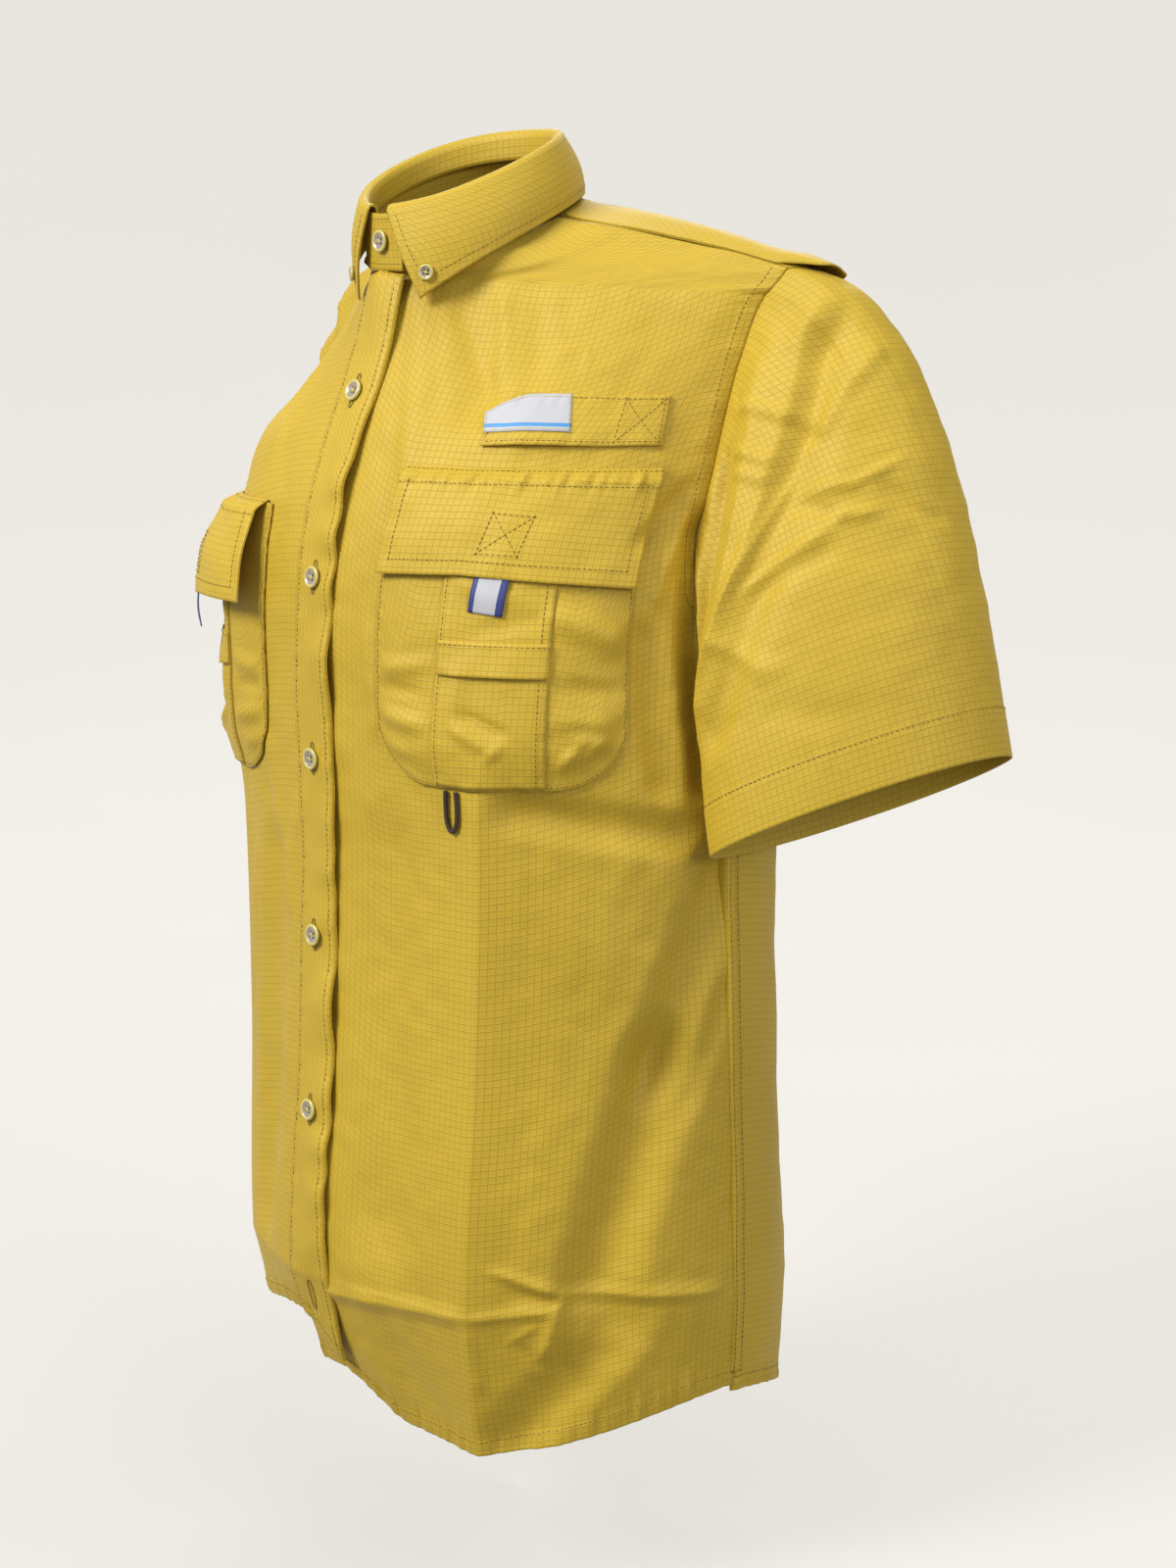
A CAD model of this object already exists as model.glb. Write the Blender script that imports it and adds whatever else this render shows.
"""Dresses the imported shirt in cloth, seams, stitches and buttons.

The body panels are smooth surfaces given by a few rows of named sizes, the same that the solid
model uses: s is millimetres across the cloth from the middle of the garment and h is the level.
Every sewn piece lies on the panel that carries it. Lengths are in millimetres until a mesh is
made, and the front faces -Y with the wearer's left at +X.
"""

import math

import bmesh
import bpy
import numpy as np
from bpy.props import FloatProperty, FloatVectorProperty, IntProperty, PointerProperty
from mathutils import Matrix, Vector


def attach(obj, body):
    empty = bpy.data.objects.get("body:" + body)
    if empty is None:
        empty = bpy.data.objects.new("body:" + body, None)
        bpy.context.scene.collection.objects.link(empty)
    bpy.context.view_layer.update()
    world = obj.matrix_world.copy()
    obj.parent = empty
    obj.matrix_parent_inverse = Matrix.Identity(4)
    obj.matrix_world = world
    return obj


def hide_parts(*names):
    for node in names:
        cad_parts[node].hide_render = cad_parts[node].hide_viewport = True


bl_info = {
    "name": "Worn short-sleeved shirt",
    "version": (1, 0, 0),
    "blender": (4, 5, 0),
    "location": "3D View > Sidebar > Shirt",
    "description": "Builds a hollow worn shirt from cut pieces, with seams, stitches and buttons",
    "category": "Object",
}

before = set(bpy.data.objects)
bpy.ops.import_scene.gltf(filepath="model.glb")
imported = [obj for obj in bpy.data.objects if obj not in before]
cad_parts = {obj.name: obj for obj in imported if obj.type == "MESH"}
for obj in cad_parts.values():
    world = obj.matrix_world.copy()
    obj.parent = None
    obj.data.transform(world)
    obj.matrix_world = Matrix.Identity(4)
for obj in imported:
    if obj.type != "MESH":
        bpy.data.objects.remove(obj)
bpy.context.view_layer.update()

MM = 0.001
SEED = 7

# Sizes of the pieces. The solid model has nearly the same, with a plainer label and strap.
LAYER = 0.8
PLACKET_HALF = 18
PLACKET_WALL = 1.2
BUTTON_TOP = -110
BUTTON_PITCH = 109
BUTTON_COUNT = 5
CREASE_ACROSS = 128
CREASE_LEVEL = -650
HEM = -742
RIGHT_HEM = -700
CAPE_EDGE = -205
NECK = {"y": -31, "seam": 65.5, "back": 8, "drop": 47}
RIGHT_DROP = -13
YOKE_W = 0.48
POCKET = {"near": 57, "far": 213, "top": -166, "bottom": -334, "corner": 42, "bulge": 4,
          "wall": 1.0}
STRIP = {"near": 104, "far": 169, "slant": 3, "wall": 0.9}
BAND = {"top": -248, "bottom": -268, "wall": 0.8}
FLAP = {"near": 63, "far": 215, "top": -151, "seam": -161, "near_edge": -213, "mid_edge": -212,
        "far_edge": -220, "wide": 152, "high": 60, "wall": 1.2}
STRAP = {"near": 106, "far": 206, "top": -110, "bottom": -138, "wall": 1.2}
LABEL = {"near": 102, "far": 153, "left_top": -119, "top": -110.5, "bottom": -131, "peak": 0.46,
         "wall": 0.5}
TAB = {"near": 122, "far": 142, "bottom": -232, "height": 21, "wall": 0.8}
LOOP = {"across": 112, "level": -335.6, "spread": 3.5, "wide": 5.5, "long": 24, "cord": 2.6}
STAND = {"height": 34, "lean": 3.5, "forward": 6, "wall": 1.4}
LEAF = {"start": 171.5, "tip_left": 152, "tip_right": 158, "wall": 1.3, "fold": 2.2, "flare": 4.5,
        "tip_drop": 18, "roll": 0.12, "roll_radius": 2.6, "inside": 80}
SLEEVE_HEM = {"x": 273, "y": 39, "z": -344, "heading": 51, "wide": 87, "deep": 46,
              "tilt_wide": 0.33, "tilt_deep": 0.37}
BACK_HALF = 290
SLEEVE_ROUND = 400
SLEEVE_LONG = 280
NECK_SHARE = 4 / 14
NECK_LEVELS = [-58, -52, -46, -38, -30]

# Sizes of the finish, which only this script has. The rows of a hem come first: they lie close
# together where the turned edge ends, which shows as a low step.
HEM_ROWS = np.array([0, 1.2, 2.6, 4.4, 6.4, 8, 9, 10.2, 12, 14.5, 17.5])
# How far the stitches run above a hem and in from an armhole
HEM_STITCHES = 8.8
ARMHOLE_STITCHES = 8.4
# Where the photograph was taken from: degrees round from the front and down, metres, and pixels.
PHOTO = {"azimuth": 51, "pitch": 9.5, "distance": 2.0, "level": -0.026, "focal": 3250, "aside": 80,
         "high": 1600, "sensor": 36}
# The band's outer face above the front, and how far stitches stand out of what they go through
BAND_FACE = 1.6
STITCH_LIFT = 0.15
# Half the height and half the width of a buttonhole, and the level of the lowest one
HOLE = {"half": 9.5, "wide": 1.3, "last": -664}
# The lowest level of the stitches beside the armholes
ARMHOLE_LOW = -246

# Rows of the front from the hem up: i is the inner end, o the outer end, lead and turn the
# headings at the ends in degrees, and pull_in and pull_out how far the row keeps them.
ROW_NAMES = "h ix iy iz ox oy oz lead turn pull_in pull_out lift"
FRONT_ROWS = [
    (-760, 0, -156, -760, 208, 8, -760, 0, 90, 126, 96, 0),
    (-640, 0, -162, -640, 206, 5, -640, 0, 90, 122, 94, 0),
    (-500, 0, -153, -500, 203, 3, -500, 0, 90, 118, 90, 0),
    (-380, 0, -149, -380, 200, 2, -380, 0, 90, 118, 88, 0),
    (-300, 0, -151, -300, 197, 6, -300, 0, 90, 120, 90, 0),
    (-256, 0, -151, -256, 194, 11, -256, 0, 88, 119, 94, 0),
    (-250, 0, -151, -250, 193, 11.5, -250, 0, 88, 119, 94, 0),
    (-222, 0, -149, -222, 186, -7, -222, 0, 84, 116, 76, 0),
    (-177, 0, -140, -177, 178, 1.5, -177, 0, 80, 115, 76, 0),
    (-140, 0, -128, -140, 177.5, 12.5, -140, 0, 75, 106, 76, 0),
    (-110, 0, -116, -110, 178, 21, -110, 0, 70, 74, 72, 2),
    (-80, 0, -105, -78, 182, 29, -80, 0, 60, 40, 66, 3),
    (-50, 0, -96.5, -39, 191, 36, -52, 0, 44, 20, 60, 1),
    (-45, 37.6, -84.7, -33.6, 195, 38.5, -47, 56, 36, 34, 58, 2),
    (-40, 59.4, -58.7, -22.2, 198.5, 41, -42, 58, 30, 42, 54, 3),
    (-30, 63.8, -15, -5, 202, 44, -36, 20, 18, 48, 50, 4),
]
BACK_ROWS = [
    (-760, 0, 136, -760, 208, 8, -760, 0, -90, 122, 80, 0),
    (-640, 0, 130, -640, 206, 5, -640, 0, -90, 120, 78, 0),
    (-500, 0, 122, -500, 203, 3, -500, 0, -90, 118, 74, 0),
    (-380, 0, 124, -380, 200, 2, -380, 0, -90, 118, 76, 0),
    (-300, 0, 128, -300, 197, 6, -300, 0, -90, 118, 78, 0),
    (-256, 0, 131, -256, 194, 11, -256, 0, -88, 117, 76, 0),
    (-250, 0, 131, -250, 193, 11.5, -250, 0, -88, 117, 76, 0),
    (-222, 0, 132, -222, 190.5, 60, -226, 0, -72, 112, 44, 0),
    (-180, 0, 131, -180, 189, 84, -180, 0, -56, 106, 36, 0),
    (-125, 0, 123, -125, 189, 91, -125, 0, -40, 94, 38, 2),
    (-72, 0, 103, -64, 197, 84, -74, 0, -22, 74, 46, 6),
    (-40, 0, 70, -20, 203, 70, -44, 0, -6, 60, 54, 10),
    (-20, 0, 34.5, 8, 205, 60, -37, 0, 6, 60, 58, 11),
    (-10, 46.3, 15.3, 4.1, 204.5, 52, -35, 8, 13, 48, 54, 8),
    (0, 63.8, -14, -4.6, 202, 45, -36, 20, 18, 48, 50, 4),
]
# The right side hangs closer: how full its front is, and how far its seam moves in.
SIDE_NAMES = "h full narrow"
RIGHT_SIDE = [
    (-760, 0.46, 27), (-640, 0.5, 21), (-480, 0.62, 8), (-340, 0.8, 0), (-250, 1.2, 0),
    (-177, 1.65, 0), (-140, 1.85, 0), (-110, 1.4, 0), (-80, 1.1, 0), (0, 1, 0),
]
# The sleeve round from the underarm by the front: level on the armhole, place on the hem ring,
# and how the cloth leaves the seam and hangs along the arm.
RING_NAMES = "w h phi go fall keep hang"
SLEEVE_RING = [
    (0, -253, 236, 10, 62, 28, 40), (0.1, -224, 200, -38, 40, 32, 60),
    (0.22, -177, 158, -32, 28, 42, 78), (0.34, -112, 104, -24, 22, 56, 100),
    (0.45, -50, 45, -6, 10, 76, 114), (0.48, -31, 26, 6, 8, 80, 118),
    (0.52, -20, 6, 18, 6, 84, 120), (0.6, -58, -32, 44, 16, 64, 112),
    (0.72, -125, -66, 48, 26, 50, 100), (0.84, -180, -92, 38, 34, 40, 76),
    (0.93, -224, -112, 24, 48, 30, 52), (1, -253, -124, 10, 62, 28, 40),
]

# A fold narrower than this is a wrinkle.
WRINKLE = 14
# Folds on the cloth: from (s0, h0) to (s1, h1), half width, height and how sharp the ridge is.
# The first rows of each table are in the solid model too.
LEFT_FOLDS = [
    (CREASE_ACROSS, -330, CREASE_ACROSS, -760, 62, 9, 1),
    (CREASE_ACROSS, -350, CREASE_ACROSS, -742, 30, 5, 1),
    (272, -392, 233, -500, 28, -9, 0),
    (234, -500, 203, -632, 32, -11, 0),
    (283, -450, 250, -535, 13, -3, 0),
    (250, -190, 262, -330, 16, -6, 0),
    (220, -655, 150, -730, 26, -7, 0),
    (62, -60, 88, -112, 20, -4, 0),
    (60, -380, 66, -600, 34, -4, 0),
    (30, -62, 60, -150, 14, 2.4, 0),
    (48, -60, 96, -112, 8, -1.6, 0),
    (80, -56, 98, -106, 7, 1.6, 1),
    (104, -62, 118, -106, 12, -1.6, 0),
    (124, -88, 140, -84, 4, 1.2, 1),
    (140, -84, 147, -98, 4, 1.2, 1),
    (147, -98, 162, -94, 4, 1.0, 1),
    (150, -347, 240, -362, 18, -6, 0),
    (4, -659, 128, -650, 9, 3.0, 1),
    (129, -651, 180, -645, 6, 2.0, 1),
    (141, -621, 184, -636, 6, 2.6, 1),
    (150, -636, 178, -641, 8, -2.2, 0),
    (184, -636, 287, -641, 8, 2.8, 1),
    (184, -636, 171, -676, 6, 3.0, 1),
    (192, -650, 181, -684, 8, -2.0, 0),
    (150, -667, 168, -655, 4, 1.2, 1),
    (160, -668, 169, -686, 4, -1.6, 1),
    (129, -655, 134, -700, 6, 2.0, 1),
    (222, -250, 236, -330, 16, -4, 0),
    (236, -160, 206, -200, 10, -2.6, 0),
    (240, -176, 224, -232, 9, 2.4, 1),
    (198, -142, 238, -158, 8, 1.6, 1),
    (24, -330, 20, -250, 12, 1.4, 0),
    (46, -240, 54, -310, 8, 1.4, 0),
]
RIGHT_FOLDS = [
    (CREASE_ACROSS, -330, CREASE_ACROSS, -760, 62, 6, 1),
    (190, -400, 160, -650, 36, -7, 0),
    (60, -400, 66, -620, 30, -5, 0),
    (62, -60, 88, -112, 20, -4, 0),
    (40, -62, 84, -150, 12, 1.6, 0),
    (60, -330, 40, -420, 14, 2, 0),
]
BACK_FOLDS = [
    (-112, -215, -120, -760, 58, 6, 1),
    (112, -215, 120, -760, 58, 6, 1),
    (-30, -240, -52, -640, 30, -6, 0),
    (44, -230, 30, -600, 26, -6, 0),
    (178, -290, 172, -600, 26, -7, 0),
    (-176, -300, -184, -620, 26, -7, 0),
]
SLEEVE_FOLDS = [
    (150, 40, 74, 170, 24, 5, 1),
    (108, 30, 48, 150, 20, -7, 0),
    (176, 70, 92, 200, 22, -5, 0),
    (250, 60, 300, 230, 24, -5, 0),
    (190, 36, 134, 104, 13, 3.4, 1),
    (134, 104, 84, 156, 11, 3.6, 1),
    (192, 50, 132, 126, 13, -2.6, 0),
    (196, 86, 150, 108, 8, 2.2, 1),
    (150, 108, 100, 136, 7, 2.6, 1),
    (146, 122, 157, 146, 4.5, -3.2, 1),
    (155, 143, 170, 157, 4.5, 3.2, 1),
    (153, 124, 168, 139, 4.5, 2.8, 1),
    (166, 137, 184, 142, 4.5, 2.6, 1),
    (174, 145, 179, 162, 4.5, -2.4, 1),
    (177, 159, 190, 177, 4.5, -2.2, 1),
    (116, 139, 156, 150, 6, 2.4, 1),
    (118, 150, 154, 160, 8, -1.8, 0),
    (94, 144, 127, 203, 7, 2.4, 1),
    (140, 30, 157, 82, 4.5, 2.6, 1),
    (153, 78, 163, 108, 4.5, -2.6, 1),
    (128, 50, 144, 93, 4.5, 2.6, 1),
    (124, 61, 140, 99, 4.5, 2.4, 1),
    (120, 215, 150, 245, 12, -1.6, 0),
    (176, 215, 190, 250, 12, -1.4, 0),
]
# Wrinkles of the pocket bag and of its strip, in the place of the left pocket.
POCKET_FOLDS = [
    (60, -267, 98, -263, 9, 1.4, 0),
    (60, -278, 92, -279, 7, -1.0, 0),
    (60, -293, 96, -299, 9, 1.6, 0),
    (62, -312, 88, -316, 8, 1.0, 0),
    (176, -236, 214, -252, 14, 2.2, 0),
    (172, -274, 206, -278, 10, -1.5, 0),
    (172, -292, 206, -296, 9, 1.4, 0),
    (174, -321, 187, -307, 6, 2.4, 1),
    (179, -303, 201, -306, 7, 2.0, 1),
    (186, -316, 199, -305, 5, 1.6, 1),
]
STRIP_FOLDS = [
    (116, -262, 114, -296, 10, 1.6, 1),
    (113, -297, 138, -311, 6, 1.9, 1),
    (118, -290, 146, -302, 6, -1.3, 0),
    (133, -318, 144, -306, 5, 1.4, 1),
    (110, -214, 150, -226, 8, 1.0, 0),
    (120, -244, 166, -234, 9, -0.9, 0),
]


def table(names, rows):
    """Named columns of a short table of numbers."""
    return dict(zip(names.split(), np.array(rows, float).T))


def smooth(x, low, high):
    t = np.clip((np.asarray(x, float) - low) / (high - low), 0, 1)
    return t * t * (3 - 2 * t)


def mix(a, b, t):
    return a + (b - a) * t


def unit(v):
    return v / (np.linalg.norm(v, axis=-1, keepdims=True) + 1e-12)


def column(rows, key, name, at):
    """A smooth curve through one column of a table, which never overshoots its rows."""
    x, y = rows[key], rows[name]
    secant = np.diff(y) / np.diff(x)
    before = np.concatenate(([secant[0]], secant))
    after = np.concatenate((secant, [secant[-1]]))
    total = np.where(before + after == 0, 1, before + after)
    slope = np.where(before * after > 0, 2 * before * after / total, 0)
    at = np.asarray(at, float)
    i = np.clip(np.searchsorted(x, at, side="right") - 1, 0, len(x) - 2)
    span = x[i + 1] - x[i]
    t = np.clip((at - x[i]) / span, 0, 1)
    return (
        (2 * t**3 - 3 * t**2 + 1) * y[i]
        + (t**3 - 2 * t**2 + t) * span * slope[i]
        + (3 * t**2 - 2 * t**3) * y[i + 1]
        + (t**3 - t**2) * span * slope[i + 1]
    )


def fold_height(folds, s, h, crisp=0.0):
    """How far the folds lift the cloth at (s, h). crisp rounds a sharp ridge, in millimetres."""
    total = np.zeros(np.broadcast(s, h).shape)
    for s0, h0, s1, h1, wide, high, sharp in folds:
        ds, dh = s1 - s0, h1 - h0
        long = math.hypot(ds, dh)
        along = ((s - s0) * ds + (h - h0) * dh) / long
        aside = ((s - s0) * dh - (h - h0) * ds) / long
        past = np.maximum(0, np.maximum(-along, along - long))
        off = np.minimum(np.sqrt(aside**2 + (past * 0.8) ** 2 + (crisp * sharp) ** 2) / wide, 1)
        shape = (1 - off) ** 1.25 if sharp else 0.5 + 0.5 * np.cos(np.pi * off)
        # A wrinkle, which is narrow, runs out to a point at both ends.
        if wide < WRINKLE:
            shape = shape * smooth(np.minimum(along, long - along), -0.8 * wide, 1.5 * wide)
        total = total + high * shape
    return total


def crumple(a, b, size, seed):
    """The gentle unevenness of worn cloth: waves of mixed direction, about 1 high."""
    draw = np.random.default_rng(SEED + seed)
    total = 0
    for _ in range(8):
        turn, start, stretch = draw.uniform((0, 0, 0.7), (2 * np.pi, 2 * np.pi, 1.6))
        x = a * math.cos(turn) + b * math.sin(turn)
        y = b * math.cos(turn) - a * math.sin(turn)
        wave = 2 * np.pi / (size * stretch)
        total = total + np.sin(x * wave + start + 1.4 * np.sin(y * wave * 0.4 + 2 * start))
    return total / 4


def pucker(along, away, reach, seed=0):
    """Small gathers beside a line of stitches, about 1 high, which fade over reach."""
    wave = 0
    for length, start in ((7.3, 0.4), (10.9, 2.1), (16.7, 4.4)):
        wave = wave + np.sin(2 * np.pi * along / length + start + seed)
    return wave / 2.2 * np.exp(-((away / reach) ** 2))


def cubic(grid, x, y):
    """A smooth reading of a grid of points at fractional places."""
    def weights(f):
        return (
            ((2 - f) * f - 1) * f / 2,
            ((3 * f - 5) * f * f + 2) / 2,
            ((4 - 3 * f) * f + 1) * f / 2,
            (f - 1) * f * f / 2,
        )

    i = np.clip(np.floor(x).astype(int), 0, grid.shape[0] - 4)
    j = np.clip(np.floor(y).astype(int), 0, grid.shape[1] - 4)
    along, beside = weights(x - i), weights(y - j)
    total = 0
    for a in range(4):
        for b in range(4):
            total = total + (along[a] * beside[b])[..., None] * grid[i + a, j + b]
    return total


def padded(grid):
    """The grid with one more line on each side, straight on from the last two."""
    for axis in (0, 1):
        first = 2 * grid.take([0], axis) - grid.take([1], axis)
        last = 2 * grid.take([-1], axis) - grid.take([-2], axis)
        grid = np.concatenate((first, grid, last), axis)
    return grid


class Panel:
    """A body panel's surface. out turns its normal outwards, side is 1 for the wearer's left."""

    STEPS = 150

    def __init__(self, rows, side, out, relief, full=None, narrow=None):
        rows = table(ROW_NAMES, rows)
        self.side, self.out, self.relief = side, out, relief
        self.low, self.high = rows["h"][0], rows["h"][-1]
        levels = np.arange(self.low, self.high + 1)
        at = {name: column(rows, "h", name, levels) for name in rows}
        fullness = full(levels) if full else 1
        inward = narrow(levels) if narrow else 0
        start = np.stack((at["ix"], at["iy"], at["iz"]), -1)
        end = np.stack((at["ox"] - inward, at["oy"], at["oz"]), -1)
        rise = (end[:, 2] - start[:, 2]) / 3
        lead, turn = np.radians(at["lead"]), np.radians(at["turn"])
        pull = at["pull_out"] * fullness
        one = start + np.stack(
            (np.cos(lead) * at["pull_in"], np.sin(lead) * at["pull_in"],
             rise + at["lift"] * 0.4), -1
        )
        two = end + np.stack((-np.cos(turn) * pull, -np.sin(turn) * pull, at["lift"] - rise), -1)
        t = np.linspace(0, 1, 181)[None, :, None]
        curve = (
            (1 - t) ** 3 * start[:, None]
            + 3 * (1 - t) ** 2 * t * one[:, None]
            + 3 * (1 - t) * t**2 * two[:, None]
            + t**3 * end[:, None]
        )
        steps = np.linalg.norm(np.diff(curve, axis=1), axis=2)
        run = np.concatenate((np.zeros((len(levels), 1)), np.cumsum(steps, 1)), 1)
        self.levels, self.lengths = levels, run[:, -1]
        share = np.linspace(0, 1, self.STEPS + 1)
        even = np.empty((len(levels), self.STEPS + 1, 3))
        for k in range(len(levels)):
            for axis in range(3):
                even[k, :, axis] = np.interp(share * run[k, -1], run[k], curve[k, :, axis])
        self.ends = unit(end - two)
        self.grid = padded(even)

    def length(self, h):
        return np.interp(h, self.levels, self.lengths)

    def base(self, s, h):
        level = np.clip(h, self.low, self.high) - self.low
        length = self.length(h)
        share = np.minimum(np.abs(s) / length, 1)
        p = cubic(self.grid, level, share * self.STEPS)
        end = self.ends[np.round(level).astype(int)]
        p = p + end * (np.abs(s) - share * length)[..., None]
        p[..., 0] *= np.where(s < 0, -self.side, self.side)
        return p

    def place(self, s, h, off=0.0):
        s, h, off = np.broadcast_arrays(*(np.asarray(x, float) for x in (s, h, off)))
        across = self.base(s + 1, h) - self.base(s - 1, h)
        up = self.base(s, h + 1) - self.base(s, h - 1)
        normal = unit(np.cross(across, up)) * (self.out * self.side)
        return self.base(s, h) + normal * (off + self.relief(s, h))[..., None]


def ripple(h):
    """The free edge of the front band waves between the buttons."""
    return 0.5 - 0.5 * np.cos(2 * np.pi * (h - BUTTON_TOP) / BUTTON_PITCH)


def hem_edge(s, at_hem, seed):
    """The turned hem: a low step where the second layer ends, and gathers at its stitches."""
    return 0.5 * (1 - smooth(at_hem, 8.2, 9.4)) + pucker(s, at_hem - 6, 9, seed)


def front_relief(folds, drop, hem, seed):
    """The shape that both fronts share: pocket fullness, pressed crease, folds and gathers."""

    def relief(s, h):
        across = smooth(s, POCKET["near"] - 30, POCKET["near"] + 40)
        across = across * (1 - smooth(s, POCKET["far"] - 40, POCKET["far"] + 25))
        down = smooth(h - drop, POCKET["bottom"] - 26, POCKET["bottom"] + 40)
        down = down * (1 - smooth(h - drop, -200, POCKET["top"] + 20))
        bend = np.maximum(0, CREASE_LEVEL - h) * mix(0.3, 0.12, smooth(s, 20, 190))
        body = POCKET["bulge"] * across * down - bend + fold_height(folds, s, h)
        soft = 0.9 * crumple(s, h * 0.7, 62, seed) + 0.28 * crumple(s, h, 21, seed + 1)
        soft = soft * smooth(np.abs(s - CREASE_ACROSS) + (h > -330) * 30, 2, 26)
        at_hem = h - hem(s)
        return body + soft * smooth(at_hem, 0, 30) + hem_edge(s, at_hem, seed)

    return relief


def overlap(s, h):
    """The right front laps over the left one: its edge is lifted clear, and ripples."""
    near = 1 - smooth(s, 14, 62)
    edge = 1 - smooth(s, -PLACKET_HALF, 16)
    fine = 1.5 * np.sin(h / 6.5 + 2 * np.sin(h / 31.0)) * (0.6 + 0.4 * np.sin(h / 47.0))
    return (near * (1.2 + LAYER) + edge * (3 * ripple(h) + fine)) * (1 - smooth(h, -52.5, -47))


def left_hem(s):
    return HEM + 27 * (1 - smooth(s, 0, 62)) + 36 * smooth(s, 120, 290)


def right_hem(s):
    lapped = 26 * (1 - smooth(s, -PLACKET_HALF, PLACKET_HALF))
    return RIGHT_HEM + 20 * (1 - smooth(s, 18, 150)) - lapped + 8 * smooth(s, 200, 290)


def back_hem(across):
    return HEM + 6 + 26 * smooth(np.abs(across), 0.45, 1)


def right_side(name):
    rows = table(SIDE_NAMES, RIGHT_SIDE)
    return lambda h: column(rows, "h", name, h)


def allowance(panel):
    """Seam allowance pressed towards the body: a low step beside the armhole."""
    plain = panel.relief

    def relief(s, h):
        away = panel.length(h) - np.abs(s)
        above = smooth(h, -262, -248)
        step = 0.55 * (1 - smooth(away, 7.5, 9.5)) + 0.3 * pucker(h, away - 8, 8, 3)
        return plain(s, h) + step * above

    panel.relief = relief
    return panel


def make_panels():
    left = front_relief(LEFT_FOLDS, 0, left_hem, 11)
    right = front_relief(RIGHT_FOLDS, RIGHT_DROP, right_hem, 23)

    def back(s, h):
        folds = fold_height(BACK_FOLDS, s, h, 3)
        soft = 0.6 * crumple(s, h * 0.7, 66, 31) + 0.2 * crumple(s, h, 24, 32)
        at_hem = h - back_hem(np.abs(s) / BACK_HALF)
        bend = np.maximum(0, CREASE_LEVEL - h) * 0.1
        return folds - bend + soft * smooth(at_hem, 0, 30) + hem_edge(s, at_hem, 5)

    narrow = right_side("narrow")
    return {
        "left": allowance(Panel(FRONT_ROWS, 1, 1, left)),
        "right": allowance(
            Panel(FRONT_ROWS, -1, 1, lambda s, h: right(s, h) + overlap(s, h),
                  right_side("full"), narrow)
        ),
        "back_left": allowance(Panel(BACK_ROWS, 1, -1, back)),
        "back_right": allowance(
            Panel(BACK_ROWS, -1, -1, lambda s, h: back(-s, h), None, narrow)
        ),
    }


PANELS = make_panels()


# Meshes


def wall(name, outer, inner, uv, ring=False):
    """A closed wall between two grids of points. A ring closes on itself in its first direction."""
    columns, rows = outer.shape[:2]
    last = columns if ring else columns - 1
    count = columns * rows
    faces, corners, flat = [], [], []

    def add(layers, steps, i, j, rim):
        ids, uvs = [], []
        for layer, (di, dj) in zip(layers, steps):
            ids.append(layer * count + ((i + di) % columns) * rows + j + dj)
            uvs.append((i + di) * rows + j + dj)
        faces.append(np.stack(ids, -1).reshape(-1, 4))
        corners.append(np.stack(uvs, -1).reshape(-1, 4))
        flat.append(np.full(len(faces[-1]), rim))

    i, j = np.meshgrid(np.arange(last), np.arange(rows - 1), indexing="ij")
    add((0, 0, 0, 0), ((0, 0), (1, 0), (1, 1), (0, 1)), i, j, False)
    add((1, 1, 1, 1), ((0, 0), (0, 1), (1, 1), (1, 0)), i, j, False)
    i, low = np.arange(last), np.zeros(last, int)
    add((0, 1, 1, 0), ((0, 0), (0, 0), (1, 0), (1, 0)), i, low, True)
    add((0, 0, 1, 1), ((0, 0), (1, 0), (1, 0), (0, 0)), i, low + rows - 1, True)
    if not ring:
        j, low = np.arange(rows - 1), np.zeros(rows - 1, int)
        add((0, 0, 1, 1), ((0, 0), (0, 1), (0, 1), (0, 0)), low, j, True)
        add((0, 1, 1, 0), ((0, 0), (0, 0), (0, 1), (0, 1)), low + columns - 1, j, True)
    faces, corners, flat = np.concatenate(faces), np.concatenate(corners), np.concatenate(flat)
    points = np.concatenate((outer.reshape(-1, 3), inner.reshape(-1, 3))) * MM
    a, b, c, d = (points[faces[:, k]] for k in range(4))
    volume = (np.cross(a, b) * c).sum() + (np.cross(a, c) * d).sum()
    if volume < 0:
        faces, corners = faces[:, ::-1], corners[:, ::-1]
    mesh = bpy.data.meshes.new(name)
    mesh.from_pydata(points.tolist(), [], faces.tolist())
    mesh.polygons.foreach_set("use_smooth", ~flat)
    layer = mesh.uv_layers.new(name="cloth")
    layer.data.foreach_set("uv", (uv.reshape(-1, 2)[corners.ravel()] * MM).ravel())
    return link(name, mesh)


def link(name, mesh):
    mesh.update()
    made = bpy.data.objects.new(name, mesh)
    bpy.context.scene.collection.objects.link(made)
    return made


def run_length(points, axis):
    """Distance along the cloth in one direction of a grid of points."""
    steps = np.linalg.norm(np.diff(points, axis=axis), axis=2)
    zero = np.zeros_like(steps.take([0], axis))
    return np.concatenate((zero, np.cumsum(steps, axis)), axis)


def shell(name, us, vs, thick, point, ring=False, anchor=0):
    """A wall whose outer face is point(u, v, 0) and whose inner face lies thick below it."""
    u, v = np.meshgrid(us, vs, indexing="ij")
    outer, inner = point(u, v, 0.0), point(u, v, -thick)
    across = run_length(outer, 0)
    across = across - across[anchor]
    uv = np.stack((across, run_length(outer, 1)), -1)
    if ring:
        outer, inner = outer[:-1], inner[:-1]
    return wall(name, outer, inner, uv, ring)


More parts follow.
